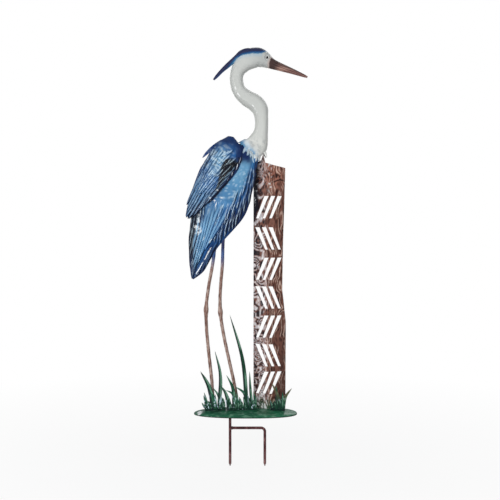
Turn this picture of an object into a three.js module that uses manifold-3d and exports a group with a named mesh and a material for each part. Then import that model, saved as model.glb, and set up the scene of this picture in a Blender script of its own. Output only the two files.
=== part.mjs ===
// Heron garden stake: a sheet metal heron with folded wings beside a bark post, on a ground plate with a
// two-pronged stake. Millimetres, +Z up. The origin is on the ground plate's underside, midway along it.
// The heron looks along +X, and its near side faces -Y.
import * as THREE from "three";
import { mergeVertices } from "three/addons/utils/BufferGeometryUtils.js";
import Module from "manifold-3d";

// Gap between pieces that touch, and the thickness of the metal sheet
const GAP = 0.3;
const SHEET = 1.6;
// Facets that differ by less than this are merged
const FINISH = 0.25;

// Ground plate: an oval dome with a thin rim and a flat underside
const PLATE_LENGTH = 250;
const PLATE_DEPTH = 108;
const PLATE_RIM = 1.8;
const PLATE_CROWN = 11;
const PLATE_SIDES = 28;
// Powers that shape the plate's ends, its long sides and the shoulder of its dome
const PLATE_LEFT_END = 0.92;
const PLATE_RIGHT_END = 0.72;
const PLATE_SIDE = 0.86;
const PLATE_SHOULDER = 2.6;

// Stake rods: the main rod hangs below the plate, and the branch leaves it sideways and bends down
const ROD_RADIUS = 3.4;
const ROD_X = -37.5;
const STAKE_DEPTH = 127;
const BRANCH_Z = -34.5;
const BRANCH_X = 47;
const BRANCH_BEND = 9;
const TIP_LENGTH = 6;

// Bark post: a curved upright sheet, open at the back
const POST_LEFT = 19.5;
const POST_CENTRE = 58;
const POST_FRONT = 8;
const POST_SAGITTA = 18;
const POST_RIDGES = 3;
const POST_RELIEF = 1.3;
const POST_COLUMNS = 8;
const POST_ROWS = 7;
// Right edge: height and x
const POST_RIGHT = [[0, 98], [220, 99], [275, 93], [300, 90], [420, 92], [510, 95], [620, 98]];
// Broken top edge with a splinter: x and height
const POST_TOP = [[19.5, 600], [30, 612], [38, 616], [43, 633], [48, 610], [65, 605], [77, 602], [98, 598]];

// Rows of slanted strokes pierced through the post: the height of each row's middle
const STROKE_ROWS = [502, 426, 352, 282, 211, 141, 74];
const STROKES_PER_ROW = 3;
const STROKE_LENGTH = 54;
const STROKE_TOP = 10;
const STROKE_FOOT = 6;
const STROKE_SLANT = 11;
const STROKE_PITCH = 16;
const STROKE_CENTRE = 56;

// Forms along a spine. Each row holds the spine's x and z, the half width in the heron's plane and the
// half depth across it.
// Neck and head, from the breast up to the tip of the beak
const NECK = [
  [12, 635, 38, 21], [25, 649.5, 29.4, 19], [32, 665, 23.5, 16], [37, 683, 17.5, 13], [39, 703, 16, 12.5],
  [38, 721, 17, 13], [34.4, 738.2, 20.2, 14], [23.5, 752, 21, 14], [7.4, 761.6, 20, 13.5], [-8, 773.4, 18, 13],
  [-17.2, 786.4, 16.5, 12.5], [-21.1, 802, 16.2, 12], [-21.6, 817, 16.2, 12], [-18.1, 829.6, 17.5, 12.5],
  [-11.6, 840.4, 20.5, 13.5], [0, 852, 23.4, 14.5], [15, 859.5, 25, 15], [31, 861.5, 24, 14.5],
  [45, 856.4, 20.3, 12.5], [56, 850.2, 15.3, 10], [65, 845.9, 12.4, 8], [82, 839.5, 10, 6.2],
  [113, 828.5, 6.8, 4], [143, 817, 3.4, 2], [149.5, 814.5, 2, 1.2],
];
// Crest, from the back of the crown to its tip
const CREST = [
  [27, 869, 8, 12], [8, 874.5, 10, 12.5], [-8, 870.5, 9.6, 11], [-19.5, 861.5, 8.2, 9], [-33, 851, 6.6, 6],
  [-45.4, 840.3, 6, 4.2], [-57.4, 829.3, 4.8, 2.8], [-69.4, 816.3, 4, 1.8], [-76.8, 808, 2.2, 1.2],
];
// Body, from the breast down to the tip of the tail
const BODY = [
  [12, 646, 20, 4], [5, 635, 31, 12], [-13, 600, 41, 22], [-28, 557, 48, 23], [-49.7, 511.8, 56.6, 21],
  [-74.6, 474.7, 53.6, 16], [-98.1, 426.7, 40.5, 11], [-109, 388, 28.8, 7.5], [-117.6, 354, 18.8, 5],
  [-125.8, 334, 7, 2.5], [-128, 328, 2.5, 1.2],
];
// Wing, from the shoulder down to its tip
const WING = [
  [-35, 671, 7, 13], [-39.3, 652.2, 27.6, 24], [-52.4, 611.2, 40.5, 31], [-80.4, 572.3, 36.5, 31],
  [-104.3, 540.2, 25.4, 25], [-122, 515, 15, 17], [-133, 497, 9, 11], [-141.5, 479, 3.5, 7],
];

// Welded rim around the neck and the thin margins of the body
const RIM_WIDTH = 3;
const RIM_HALF = 0.8;

// Feathers: each is a long leaf laid on a form, with a raised shaft and a lifted tip
const FEATHER_STEPS = 4;
const FEATHER_SINK = 1.4;
const FEATHER_LIFT = 3;
const NEAR_FEATHERS = 9;
const FAR_FEATHERS = 6;
const COVERTS = 4;
const COVERT_LENGTH = 48;
const BODY_FEATHERS = 10;
const TAIL_FEATHERS = 3;
const HEM_TEETH = 7;
const HEM_DROP = 9;

// Legs: knots of each rod as x, y and z, from inside the body down to the plate
const LEG_RADIUS = 4.2;
const KNEE_RADIUS = 6.2;
const KNEE_REACH = 11;
const LEFT_LEG = [
  [-71, 1, 424], [-75, 1, 398], [-78, 1, 373], [-95.5, 1, 253], [-81, 2, 68], [-77.5, 2, 11.5],
];
const RIGHT_LEG = [
  [-52, 1, 446], [-54.5, 1, 412], [-55.5, 1, 373], [-61, 3, 247], [-27, 5, 70], [-17, 5, 12],
];
const KNEE_KNOT = 3;
const LEG_SAMPLES = 200;

// Grass clumps. Each blade has its x and z at the foot, the middle and the tip, and its width. y is the
// clump's distance from the plate's long axis.
const GRASS = {
  grass_far_left: {
    y: -9,
    blades: [
      [[-76, 14], [-89, 69], [-109, 105], 12], [[-70, 14], [-84, 56], [-96, 86], 9],
      [[-90, 14], [-95, 35], [-100, 54], 6], [[-94, 14], [-99, 19], [-106, 29], 6],
    ],
  },
  grass_left: {
    y: -6,
    blades: [
      [[-64, 14], [-61, 96], [-74, 154], 9], [[-59, 14], [-66, 46], [-79, 65], 7],
      [[-52, 14], [-54, 28], [-57, 42], 6],
    ],
  },
  grass_middle: {
    y: -14,
    blades: [
      [[-40, 14], [-48, 53], [-62, 73], 9], [[-22, 14], [-31, 51], [-47, 60], 8],
      [[-27, 14], [-31, 66], [-46, 97], 9], [[-35, 14], [-38, 30], [-42, 48], 7],
      [[-17, 14], [-19, 34], [-22, 54], 6],
    ],
  },
  grass_tall: {
    y: -8,
    blades: [
      [[3.5, 14], [-7, 132], [-38, 242], 9.5], [[2, 14], [-3, 51], [-25, 68], 8],
      [[-13, 14], [-14, 24], [-14, 43], 6], [[17, 14], [12, 60], [10, 105], 7],
      [[23, 14], [22, 34], [19, 56], 6],
    ],
  },
  grass_right: {
    y: -9,
    blades: [
      [[85, 14], [77, 48], [63, 77], 9], [[88, 14], [89, 30], [90, 55], 7],
      [[91, 14], [97, 43], [112, 64], 8], [[77, 14], [76, 40], [74, 71], 8],
      [[65, 14], [63, 22], [60, 36], 6],
    ],
  },
};
const BLADE_HALF = 1.1;
const BLADE_STEPS = 4;
const CLUMP_HEIGHT = 7;

// Paint
const PAINT = {
  pale_grey: { color: 0xc6c8c4, roughness: 0.32, metalness: 0.1 },
  feather_blue: { color: 0x5a86ac, roughness: 0.35, metalness: 0.15 },
  wing_blue: { color: 0x3c6690, roughness: 0.35, metalness: 0.15 },
  leg_grey: { color: 0xa8978f, roughness: 0.45, metalness: 0.1 },
  bark_brown: { color: 0x7a5346, roughness: 0.5, metalness: 0.1 },
  grass_green: { color: 0x2f6b4e, roughness: 0.4, metalness: 0.1 },
  stake_brown: { color: 0x553436, roughness: 0.5, metalness: 0.2 },
};

const wasm = await Module();
wasm.setup();

const clamp = THREE.MathUtils.clamp;
const lerp = THREE.MathUtils.lerp;
const radians = THREE.MathUtils.degToRad;
const vec = (x, y, z) => new THREE.Vector3(x, y, z);

// Whole numbers from 0 to count - 1
function range(count) {
  return Array.from({ length: count }, (_, i) => i);
}

// A number of things made at even shares from 0 to 1
function row(count, make) {
  return range(count).map((i) => make(i / (count - 1)));
}

// Straight-line value at a key in rows of key and value
function valueAt(rows, key) {
  const last = rows.length - 2;
  const i = clamp(rows.findIndex((row) => row[0] > key) - 1, 0, last);
  const at = key >= rows[last + 1][0] ? last : i;
  const part = clamp((key - rows[at][0]) / (rows[at + 1][0] - rows[at][0]), 0, 1);
  return lerp(rows[at][1], rows[at + 1][1], part);
}

// Closed solid through rings of equally many points. Each ring runs along one face and back along the
// other, so the end rings are closed by a strip from face to face.
function loft(rings) {
  const count = rings[0].length;
  const faces = [];
  for (let r = 0; r < rings.length - 1; r += 1) {
    for (let i = 0; i < count; i += 1) {
      const a = r * count + i;
      const b = r * count + ((i + 1) % count);
      faces.push([a, b, b + count], [a, b + count, a + count]);
    }
  }
  const last = (rings.length - 1) * count;
  for (let i = 0; i < count / 2 - 1; i += 1) {
    const [a, b, c, d] = [i, i + 1, count - 2 - i, count - 1 - i];
    faces.push([a, c, b], [a, d, c], [last + a, last + b, last + c], [last + a, last + c, last + d]);
  }
  return closedSolid(rings.flat(), faces);
}

// Closed solid from points and triangles, turned so that its faces point out
function closedSolid(points, faces) {
  const volume = faces.reduce((sum, [a, b, c]) => {
    return sum + points[a].dot(vec(0, 0, 0).crossVectors(points[b], points[c]));
  }, 0);
  const geometry = new THREE.BufferGeometry().setFromPoints(points);
  geometry.setIndex((volume < 0 ? faces.map(([a, b, c]) => [a, c, b]) : faces).flat());
  return toSolid(geometry);
}

function toSolid(geometry) {
  const bare = geometry.clone();
  bare.deleteAttribute("normal");
  bare.deleteAttribute("uv");
  const merged = mergeVertices(bare, 1e-4);
  const mesh = new wasm.Mesh({
    numProp: 3,
    vertProperties: merged.attributes.position.array,
    triVerts: new Uint32Array(merged.index.array),
  });
  return new wasm.Manifold(mesh);
}

function toGeometry(solid) {
  const mesh = solid.simplify(FINISH).getMesh();
  const geometry = new THREE.BufferGeometry();
  geometry.setAttribute("position", new THREE.BufferAttribute(mesh.vertProperties, 3));
  geometry.setIndex(new THREE.BufferAttribute(mesh.triVerts, 1));
  geometry.computeVertexNormals();
  return geometry;
}

function joined(solids) {
  return solids.reduce((sum, solid) => sum.add(solid));
}

// A form's spine with its half widths and half depths, read at u from 0 to 1
function spine(rows) {
  const line = new THREE.CatmullRomCurve3(rows.map(([x, z]) => vec(x, 0, z)));
  const sizes = new THREE.CatmullRomCurve3(rows.map(([, , half, deep]) => vec(half, deep, 0)));
  return (u) => {
    const tangent = line.getTangent(u);
    const size = sizes.getPoint(u);
    return { centre: line.getPoint(u), across: vec(-tangent.z, 0, tangent.x), half: size.x, deep: size.y };
  };
}

// Point of a form in the heron's plane: u along the spine, t from -1 to 1 across it
function planePoint(form, u, t) {
  const station = form(u);
  return station.centre.addScaledVector(station.across, station.half * t);
}

// The u and t of a point in the heron's plane, from the spine's nearest sample
function locate(form, x, z) {
  const samples = 160;
  let best = { distance: Infinity };
  for (let i = 0; i <= samples; i += 1) {
    const u = i / samples;
    const station = form(u);
    const dx = x - station.centre.x;
    const dz = z - station.centre.z;
    const distance = Math.hypot(dx, dz);
    if (distance < best.distance) {
      best = { distance, u, t: (dx * station.across.x + dz * station.across.z) / station.half };
    }
  }
  return best;
}

// Half depth of the body's pressed halves
function bodyDepth(u, t) {
  const swell = Math.pow(Math.max(0, 1 - Math.pow(Math.abs(t), 2.2)), 0.7);
  return RIM_HALF + body(u).deep * swell;
}

// Distance of a wing's outer face from the heron's plane: it wraps round the back and lies on the flank
function wingDepth(u, t) {
  const back = 3;
  const wrap = Math.sin((Math.PI / 2) * clamp((t + 1.02) / 1.25, 0, 1));
  const flank = 1 - 0.2 * Math.pow(clamp((t - 0.23) / 0.77, 0, 1), 2);
  return back + (wing(u).deep - back) * wrap * flank;
}

// Leaf from root to tip in the heron's plane. cover gives its outer and inner distance from that plane at a
// place on the leaf: along it from 0 to 1, and across it from -1 to 1.
function leaf({ root, tip, width, bow }, cover) {
  const chord = vec(tip[0] - root[0], 0, tip[1] - root[1]);
  const side = vec(-chord.z, 0, chord.x).normalize();
  const middle = vec((tip[0] + root[0]) / 2, 0, (tip[1] + root[1]) / 2).addScaledVector(side, 2 * bow);
  const line = new THREE.QuadraticBezierCurve3(vec(root[0], 0, root[1]), middle, vec(tip[0], 0, tip[1]));
  const rings = range(FEATHER_STEPS + 1).map((i) => {
    const s = i / FEATHER_STEPS;
    const tangent = line.getTangent(s);
    const across = vec(-tangent.z, 0, tangent.x);
    const half = (width / 2) * (0.6 + 0.4 * Math.sin(Math.PI * Math.min(s / 1.2, 0.5))) *
      Math.pow(1.02 - Math.pow(s, 4), 0.7);
    const at = (c) => line.getPoint(s).addScaledVector(across, half * c);
    const front = [-1, 0, 1].map((c) => at(c).setY(cover(at(c), s, c).outer));
    const rear = [1, 0, -1].map((c) => at(c).setY(cover(at(c), s, c).inner));
    return [...front, ...rear];
  });
  return loft(rings);
}

// A feather's tip and its rear edge stand over the next feather, and its front edge goes under the one before
function featherRise(s, c) {
  const profile = c > 0 ? 1 - 0.9 * c : 1 + 0.35 * c;
  return FEATHER_LIFT * (0.2 + 0.8 * s) * profile;
}

// Wing feather whose tip is at a share of the way round the wing's end and up its rear margin
function wingFeather(f) {
  const round = 0.35;
  const u = f < round ? lerp(0.85, 1, f / round) : lerp(0.97, 0.42, (f - round) / (1 - round));
  const t = f < round ? lerp(-0.95, 0, f / round) : 0.94;
  const end = planePoint(wing, u, t);
  const lean = radians(lerp(21, 42, f));
  const length = lerp(118, 62, f);
  const tip = [end.x - 5 * Math.sin(lean), end.z - 5 * Math.cos(lean)];
  const root = [tip[0] + length * Math.sin(lean), tip[1] + length * Math.cos(lean)];
  return { root, tip, width: lerp(15, 14, f), bow: 3 };
}

// Short covert at a share of the way across the wing's upper half
function covert(f) {
  const end = planePoint(wing, lerp(0.5, 0.44, f), lerp(-0.72, 0.62, f));
  const lean = radians(lerp(24, 40, f));
  const root = [end.x + COVERT_LENGTH * Math.sin(lean), end.z + COVERT_LENGTH * Math.cos(lean)];
  return { root, tip: [end.x, end.z], width: 17, bow: 2 };
}

// A wing on one side, -1 near and 1 far, with feathers raised on its outer face
function wingSolid(side, feathers) {
  const columns = 6;
  const rows = 11;
  const rings = range(rows + 1).map((r) => {
    const u = r / rows;
    const spread = range(columns + 1).map((k) => lerp(-1, 1, k / columns));
    const outer = spread.map((t) => planePoint(wing, u, t).setY(side * wingDepth(u, t)));
    const inner = spread.map((t) => planePoint(wing, u, t).setY(side * (wingDepth(u, t) - SHEET)));
    return [...outer, ...inner.reverse()];
  });
  const leaves = feathers.map((feather) => {
    return leaf(feather, (place, s, c) => {
      const spot = locate(wing, place.x, place.z);
      const face = wingDepth(spot.u, clamp(spot.t, -1, 1));
      return { outer: side * (face + featherRise(s, c)), inner: side * (face - FEATHER_SINK) };
    });
  });
  return joined([loft(rings), ...leaves]);
}

// Space that a wing takes: from its inner face outwards, a little wider than the wing
function wingRoom(side) {
  const rows = 9;
  const columns = 4;
  const spare = 3;
  const outside = 70;
  const rings = range(rows + 1).map((r) => {
    const u = r / rows;
    const spread = range(columns + 1).map((k) => lerp(-1, 1, k / columns));
    const grown = (t) => t * (1 + spare / wing(u).half);
    const inner = spread.map((t) => {
      return planePoint(wing, u, grown(t)).setY(side * (wingDepth(u, t) - SHEET - 2 * GAP));
    });
    const outer = spread.map((t) => planePoint(wing, u, grown(t)).setY(side * outside));
    return [...outer, ...inner.reverse()];
  });
  return loft(rings);
}

// Body feather whose tip is at a share of the way down the body's front margin
function bodyFeather(f) {
  const end = planePoint(body, lerp(0.3, 0.93, f), lerp(0.88, 0.9, f));
  const lean = radians(lerp(2, 29, Math.pow(f, 0.7)));
  const length = lerp(62, 120, f);
  const tip = [end.x - 3 * Math.sin(lean), end.z - 5 * Math.cos(lean)];
  const root = [tip[0] + length * Math.sin(lean), tip[1] + length * Math.cos(lean)];
  return { root, tip, width: lerp(13, 16, f), bow: -2 };
}

// Long tail feather, at a share of the way from the tail's tip up its rear margin
function tailFeather(f) {
  const end = planePoint(body, lerp(0.99, 0.8, f), lerp(-0.2, -0.8, f));
  const lean = radians(lerp(26, 8, f));
  const length = lerp(165, 110, f);
  const root = [end.x + length * Math.sin(lean), end.z + length * Math.cos(lean)];
  return { root, tip: [end.x, end.z], width: 15, bow: 4 };
}

function bodySolid() {
  const columns = 6;
  const rows = 12;
  const rings = range(rows + 1).map((r) => {
    const u = r / rows;
    const spread = range(columns + 1).map((k) => Math.sin((Math.PI / 2) * lerp(-1, 1, k / columns)));
    const near = spread.map((t) => planePoint(body, u, t).setY(-bodyDepth(u, t)));
    const far = spread.map((t) => planePoint(body, u, t).setY(bodyDepth(u, t)));
    return [...near, ...far.reverse()];
  });
  const feathers = [...row(BODY_FEATHERS, bodyFeather), ...row(TAIL_FEATHERS, tailFeather)];
  const leaves = feathers.map((feather) => leaf(feather, (place, s, c) => {
    const spot = locate(body, place.x, place.z);
    const face = bodyDepth(spot.u, clamp(spot.t, -1, 1)) + featherRise(s, c);
    return { outer: -face, inner: face };
  }));
  return joined([loft(rings), ...leaves]);
}

// Neck and head with a welded rim. The hem at its foot is cut into feather points. grow widens it all round.
function neckSolid(grow) {
  const arc = 6;
  const rows = 27;
  const rings = range(rows + 1).map((r) => {
    const u = r / rows;
    const station = neck(u);
    const half = station.half + grow;
    const rimHalf = Math.min(RIM_HALF, station.deep) + grow;
    const rim = Math.min(RIM_WIDTH, half / 3);
    const near = range(arc + 1).map((k) => {
      const angle = Math.PI * (1 - k / arc);
      return [Math.cos(angle) * (half - rim), rimHalf + Math.sin(angle) * (station.deep + grow)];
    });
    const outline = [[-half, rimHalf], ...near, [half, rimHalf]];
    const place = ([across, depth]) => {
      const tooth = r === 0 ? hemTooth(across / half) + grow : 0;
      const along = vec(-station.across.z, 0, station.across.x);
      const point = station.centre.clone().addScaledVector(station.across, across);
      return point.addScaledVector(along, tooth).setY(-depth);
    };
    const front = outline.map(place);
    const rear = front.map((point) => vec(point.x, -point.y, point.z)).reverse();
    return [...front, ...rear];
  });
  return loft(rings);
}

// How far the hem's feather points drop at t across the neck's foot
function hemTooth(t) {
  const wave = Math.abs(((t + 1) * HEM_TEETH) % 2 - 1);
  return HEM_DROP * wave;
}

function crestSolid() {
  const rows = 8;
  const rings = range(rows + 1).map((r) => {
    const station = crest(r / rows);
    const corners = [[-1, 0], [-0.4, 1], [0.4, 1], [1, 0], [0.4, -1], [-0.4, -1]];
    return corners.map(([a, d]) => {
      return station.centre.clone().addScaledVector(station.across, a * station.half).setY(d * station.deep);
    });
  });
  return loft(rings);
}

// Round rod along a curve, with a ring at each share of its length and a radius for each ring's middle
function rod(line, shares, sides, radiusAt) {
  const depthwise = vec(0, 1, 0);
  const rings = shares.map((u) => {
    const tangent = line.getTangentAt(u);
    const side = vec(0, 0, 0).crossVectors(tangent, depthwise).normalize();
    const up = vec(0, 0, 0).crossVectors(side, tangent);
    const middle = line.getPointAt(u);
    const radius = radiusAt(middle);
    return range(sides).map((k) => {
      const angle = (2 * Math.PI * k) / sides;
      return middle.clone()
        .addScaledVector(side, radius * Math.cos(angle))
        .addScaledVector(up, radius * Math.sin(angle));
    });
  });
  return loft(rings);
}

// Leg with a swollen knee
function legSolid(knots, grow) {
  const points = knots.map((knot) => vec(...knot));
  const line = new THREE.CatmullRomCurve3(points);
  const knee = points[KNEE_KNOT];
  const kneeShare = range(LEG_SAMPLES + 1).map((i) => i / LEG_SAMPLES).reduce((best, u) => {
    return line.getPointAt(u).distanceTo(knee) < line.getPointAt(best).distanceTo(knee) ? u : best;
  });
  const reach = KNEE_REACH / line.getLength();
  const round = [-1.8, -1, -0.5, 0, 0.5, 1, 1.8].map((step) => kneeShare + step * reach);
  const plain = range(8).map((i) => i / 7).filter((u) => Math.abs(u - kneeShare) > 2.5 * reach);
  const shares = [...round, ...plain].sort((a, b) => a - b);
  return rod(line, shares, 8, (middle) => {
    const near = Math.exp(-Math.pow(middle.distanceTo(knee) / KNEE_REACH, 2));
    return lerp(LEG_RADIUS, KNEE_RADIUS, near) + grow;
  });
}

// Stake rods narrow towards their tips
function stakeRadius(middle) {
  return ROD_RADIUS * clamp((middle.z + STAKE_DEPTH) / TIP_LENGTH, 0.4, 1);
}

function stakeRod() {
  const line = new THREE.LineCurve3(vec(ROD_X, 0, -GAP), vec(ROD_X, 0, -STAKE_DEPTH));
  const tip = 1 - TIP_LENGTH / STAKE_DEPTH;
  return rod(line, [0, 0.5, tip, 1], 10, stakeRadius);
}

function stakeBranch() {
  const start = ROD_X + ROD_RADIUS + GAP;
  const steps = 4;
  const bend = range(steps + 1).map((i) => {
    const angle = (Math.PI / 2) * (i / steps);
    const x = BRANCH_X - BRANCH_BEND + BRANCH_BEND * Math.sin(angle);
    return vec(x, 0, BRANCH_Z - BRANCH_BEND + BRANCH_BEND * Math.cos(angle));
  });
  const route = new THREE.CurvePath();
  route.add(new THREE.LineCurve3(vec(start, 0, BRANCH_Z), bend[0]));
  bend.slice(1).forEach((point, i) => route.add(new THREE.LineCurve3(bend[i], point)));
  route.add(new THREE.LineCurve3(bend[steps], vec(BRANCH_X, 0, -STAKE_DEPTH)));
  const lengths = route.getCurveLengths();
  const corners = lengths.slice(0, -1).map((length) => length / route.getLength());
  const tip = 1 - TIP_LENGTH / route.getLength();
  return rod(route, [0, ...corners, tip, 1], 10, stakeRadius);
}

// Outline of the ground plate at a share of its size. The left end is a little more pointed.
function plateOutline(share, z) {
  return range(PLATE_SIDES).map((k) => {
    const angle = (2 * Math.PI * k) / PLATE_SIDES;
    return vec(plateX(Math.cos(angle)) * share, plateY(Math.sin(angle)) * share, z);
  });
}

function plateX(cosine) {
  const blunt = cosine < 0 ? PLATE_LEFT_END : PLATE_RIGHT_END;
  return (PLATE_LENGTH / 2) * Math.sign(cosine) * Math.pow(Math.abs(cosine), blunt);
}

function plateY(sine) {
  return (PLATE_DEPTH / 2) * Math.sign(sine) * Math.pow(Math.abs(sine), PLATE_SIDE);
}

// Height of the plate's dome at a share of its outline
function plateCrown(share) {
  return PLATE_RIM + (PLATE_CROWN - PLATE_RIM) * Math.sqrt(1 - Math.pow(share, PLATE_SHOULDER));
}

// Height of the plate's top under a point, from the share of the outline that passes through it
function plateHeight(x, y) {
  const end = x < 0 ? PLATE_LEFT_END : PLATE_RIGHT_END;
  let low = 0;
  let high = 1;
  for (let i = 0; i < 24; i += 1) {
    const share = (low + high) / 2;
    const along = Math.pow(Math.abs(x) / (share * PLATE_LENGTH / 2), 2 / end);
    const aside = Math.pow(Math.abs(y) / (share * PLATE_DEPTH / 2), 2 / PLATE_SIDE);
    if (along + aside > 1) low = share;
    else high = share;
  }
  return plateCrown(high);
}

function plateSolid() {
  const underside = [0.08, 1].map((share) => plateOutline(share, 0));
  const top = [0.97, 0.88, 0.66, 0.3].map((share) => plateOutline(share, plateCrown(share)));
  return loft([...underside, plateOutline(1, PLATE_RIM), ...top]);
}

// Bark post: a sheet curved across, with bark ridges that wander as they rise
function postSolid() {
  const radius = (Math.pow(POST_CENTRE - POST_LEFT, 2) + Math.pow(POST_SAGITTA, 2)) / (2 * POST_SAGITTA);
  const open = Math.asin((POST_CENTRE - POST_LEFT) / radius);
  const rings = range(POST_ROWS + 1).map((r) => {
    const point = (k, depth) => {
      const v = lerp(-1, 1, k / POST_COLUMNS);
      const swing = Math.sin(v * open) / Math.sin(open);
      const ideal = POST_CENTRE + (POST_CENTRE - POST_LEFT) * swing;
      const foot = plateHeight(ideal, POST_FRONT) + GAP;
      const z = lerp(foot, valueAt(POST_TOP, ideal), r / POST_ROWS);
      const halfRight = valueAt(POST_RIGHT, z) - POST_CENTRE;
      const x = POST_CENTRE + swing * (swing > 0 ? halfRight : POST_CENTRE - POST_LEFT);
      const ridge = POST_RELIEF * Math.sin(POST_RIDGES * Math.PI * v + 1.4 * Math.sin(z / 41) + r);
      return vec(x, POST_FRONT + radius * (1 - Math.cos(v * open)) + depth - ridge, z);
    };
    const front = range(POST_COLUMNS + 1).map((k) => point(k, 0));
    const back = range(POST_COLUMNS + 1).map((k) => point(k, SHEET));
    return [...front, ...back.reverse()];
  });
  return loft(rings).subtract(joined(STROKE_ROWS.flatMap(strokeRow)));
}

// One row of slanted strokes. Rows lean left and right by turns.
function strokeRow(z, index) {
  const slant = index % 2 === 0 ? STROKE_SLANT : -STROKE_SLANT;
  return range(STROKES_PER_ROW).map((i) => {
    const x = STROKE_CENTRE + (i - (STROKES_PER_ROW - 1) / 2) * STROKE_PITCH;
    const low = z - STROKE_LENGTH / 2;
    const high = z + STROKE_LENGTH / 2;
    const shape = new THREE.Shape([
      new THREE.Vector2(x - slant - STROKE_FOOT / 2, low),
      new THREE.Vector2(x - slant + STROKE_FOOT / 2, low),
      new THREE.Vector2(x + slant + STROKE_TOP / 2, high),
      new THREE.Vector2(x + slant - STROKE_TOP / 2, high),
    ]);
    const depth = 60;
    const cutter = new THREE.ExtrudeGeometry(shape, { depth, bevelEnabled: false });
    cutter.rotateX(Math.PI / 2);
    cutter.translate(0, depth, 0);
    return toSolid(cutter);
  });
}

// Blade of grass, creased along its middle
function bladeSolid([foot, middle, tip, width], y) {
  const line = new THREE.CatmullRomCurve3([foot, middle, tip].map(([x, z]) => vec(x, y, z)));
  const rings = range(BLADE_STEPS + 1).map((i) => {
    const u = i / BLADE_STEPS;
    const tangent = line.getTangentAt(u);
    const across = vec(-tangent.z, 0, tangent.x);
    const half = (width / 2) * Math.pow(1.01 - Math.pow(u, 2.6), 0.9);
    const crease = BLADE_HALF * (1 - 0.6 * u);
    return [[-half, 0], [0, -crease], [half, 0], [0, crease]].map(([a, d]) => {
      const point = line.getPointAt(u).addScaledVector(across, a);
      return point.setY(y + d);
    });
  });
  return loft(rings);
}

// A clump's blades rise from one low strip that follows the plate's dome
function clumpSolid({ y, blades }) {
  const feet = blades.map(([foot]) => foot[0]);
  const left = Math.min(...feet) - 4;
  const right = Math.max(...feet) + 4;
  const steps = 3;
  const rings = range(steps + 1).map((i) => {
    const x = lerp(left, right, i / steps);
    const low = plateHeight(x, y) + GAP;
    return [[-1, low], [-1, low + CLUMP_HEIGHT], [1, low + CLUMP_HEIGHT], [1, low]].map(([side, z]) => {
      return vec(x, y + (side * SHEET) / 2, z);
    });
  });
  return joined([loft(rings), ...blades.map((blade) => bladeSolid(blade, y))]);
}

const body = spine(BODY);
const wing = spine(WING);
const neck = spine(NECK);
const crest = spine(CREST);

// The leading feather of the far wing shows past the near one
const LEADING_FEATHER = { root: [-58, 662], tip: [-104, 621], width: 9, bow: -2 };

const nearRoom = wingRoom(-1);
const farRoom = wingRoom(1);
const neckRoom = neckSolid(1.5 * GAP);
const legs = { left_leg: LEFT_LEG, right_leg: RIGHT_LEG };

const solids = {
  ground_plate: [plateSolid(), PAINT.grass_green],
  stake_rod: [stakeRod(), PAINT.stake_brown],
  stake_branch: [stakeBranch(), PAINT.stake_brown],
  bark_post: [postSolid().subtract(neckRoom), PAINT.bark_brown],
  neck_and_head: [joined([neckSolid(0), crestSolid()]).subtract(nearRoom).subtract(farRoom), PAINT.pale_grey],
  near_wing: [wingSolid(-1, [...row(NEAR_FEATHERS, wingFeather), ...row(COVERTS, covert)]), PAINT.wing_blue],
  far_wing: [wingSolid(1, [...row(FAR_FEATHERS, wingFeather), LEADING_FEATHER]), PAINT.wing_blue],
};
const sockets = joined(Object.values(legs).map((knots) => legSolid(knots, GAP)));
const trimmed = bodySolid().subtract(neckRoom).subtract(nearRoom).subtract(farRoom).subtract(sockets);
solids.body_with_tail = [trimmed, PAINT.feather_blue];
for (const [name, knots] of Object.entries(legs)) {
  solids[name] = [legSolid(knots, 0), PAINT.leg_grey];
}
for (const [name, clump] of Object.entries(GRASS)) {
  solids[name] = [clumpSolid(clump), PAINT.grass_green];
}

const heronStake = new THREE.Group();
for (const [name, [solid, paint]] of Object.entries(solids)) {
  const mesh = new THREE.Mesh(toGeometry(solid), new THREE.MeshStandardMaterial(paint));
  mesh.name = name;
  heronStake.add(mesh);
}

export default heronStake;
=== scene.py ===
import math
from collections import namedtuple

import bpy
import numpy as np
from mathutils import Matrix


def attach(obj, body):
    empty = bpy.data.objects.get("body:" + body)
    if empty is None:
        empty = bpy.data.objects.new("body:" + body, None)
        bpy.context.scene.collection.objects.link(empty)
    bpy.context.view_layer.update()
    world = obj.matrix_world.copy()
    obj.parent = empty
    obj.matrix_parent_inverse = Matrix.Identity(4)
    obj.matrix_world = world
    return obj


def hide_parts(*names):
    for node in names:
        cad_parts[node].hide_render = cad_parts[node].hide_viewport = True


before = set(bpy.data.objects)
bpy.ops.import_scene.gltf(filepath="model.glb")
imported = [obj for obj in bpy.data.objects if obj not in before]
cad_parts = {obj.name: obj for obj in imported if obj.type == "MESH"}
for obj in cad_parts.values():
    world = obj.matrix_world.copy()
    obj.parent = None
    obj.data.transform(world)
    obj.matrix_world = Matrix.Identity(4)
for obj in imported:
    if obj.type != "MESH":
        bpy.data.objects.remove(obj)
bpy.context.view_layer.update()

# Sizes in millimetres, repeated from the part's source. Blender's own unit is the metre.
MM = 0.001
SHEET = 1.6
GAP = 0.3

PLATE_LENGTH = 250
PLATE_DEPTH = 108
PLATE_RIM = 1.8
PLATE_CROWN = 11
PLATE_LEFT_END = 0.92
PLATE_RIGHT_END = 0.72
PLATE_SIDE = 0.86
PLATE_SHOULDER = 2.6

ROD_RADIUS = 3.4
ROD_X = -37.5
STAKE_DEPTH = 127
BRANCH_Z = -34.5
BRANCH_X = 47
BRANCH_BEND = 9
TIP_LENGTH = 6

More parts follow.
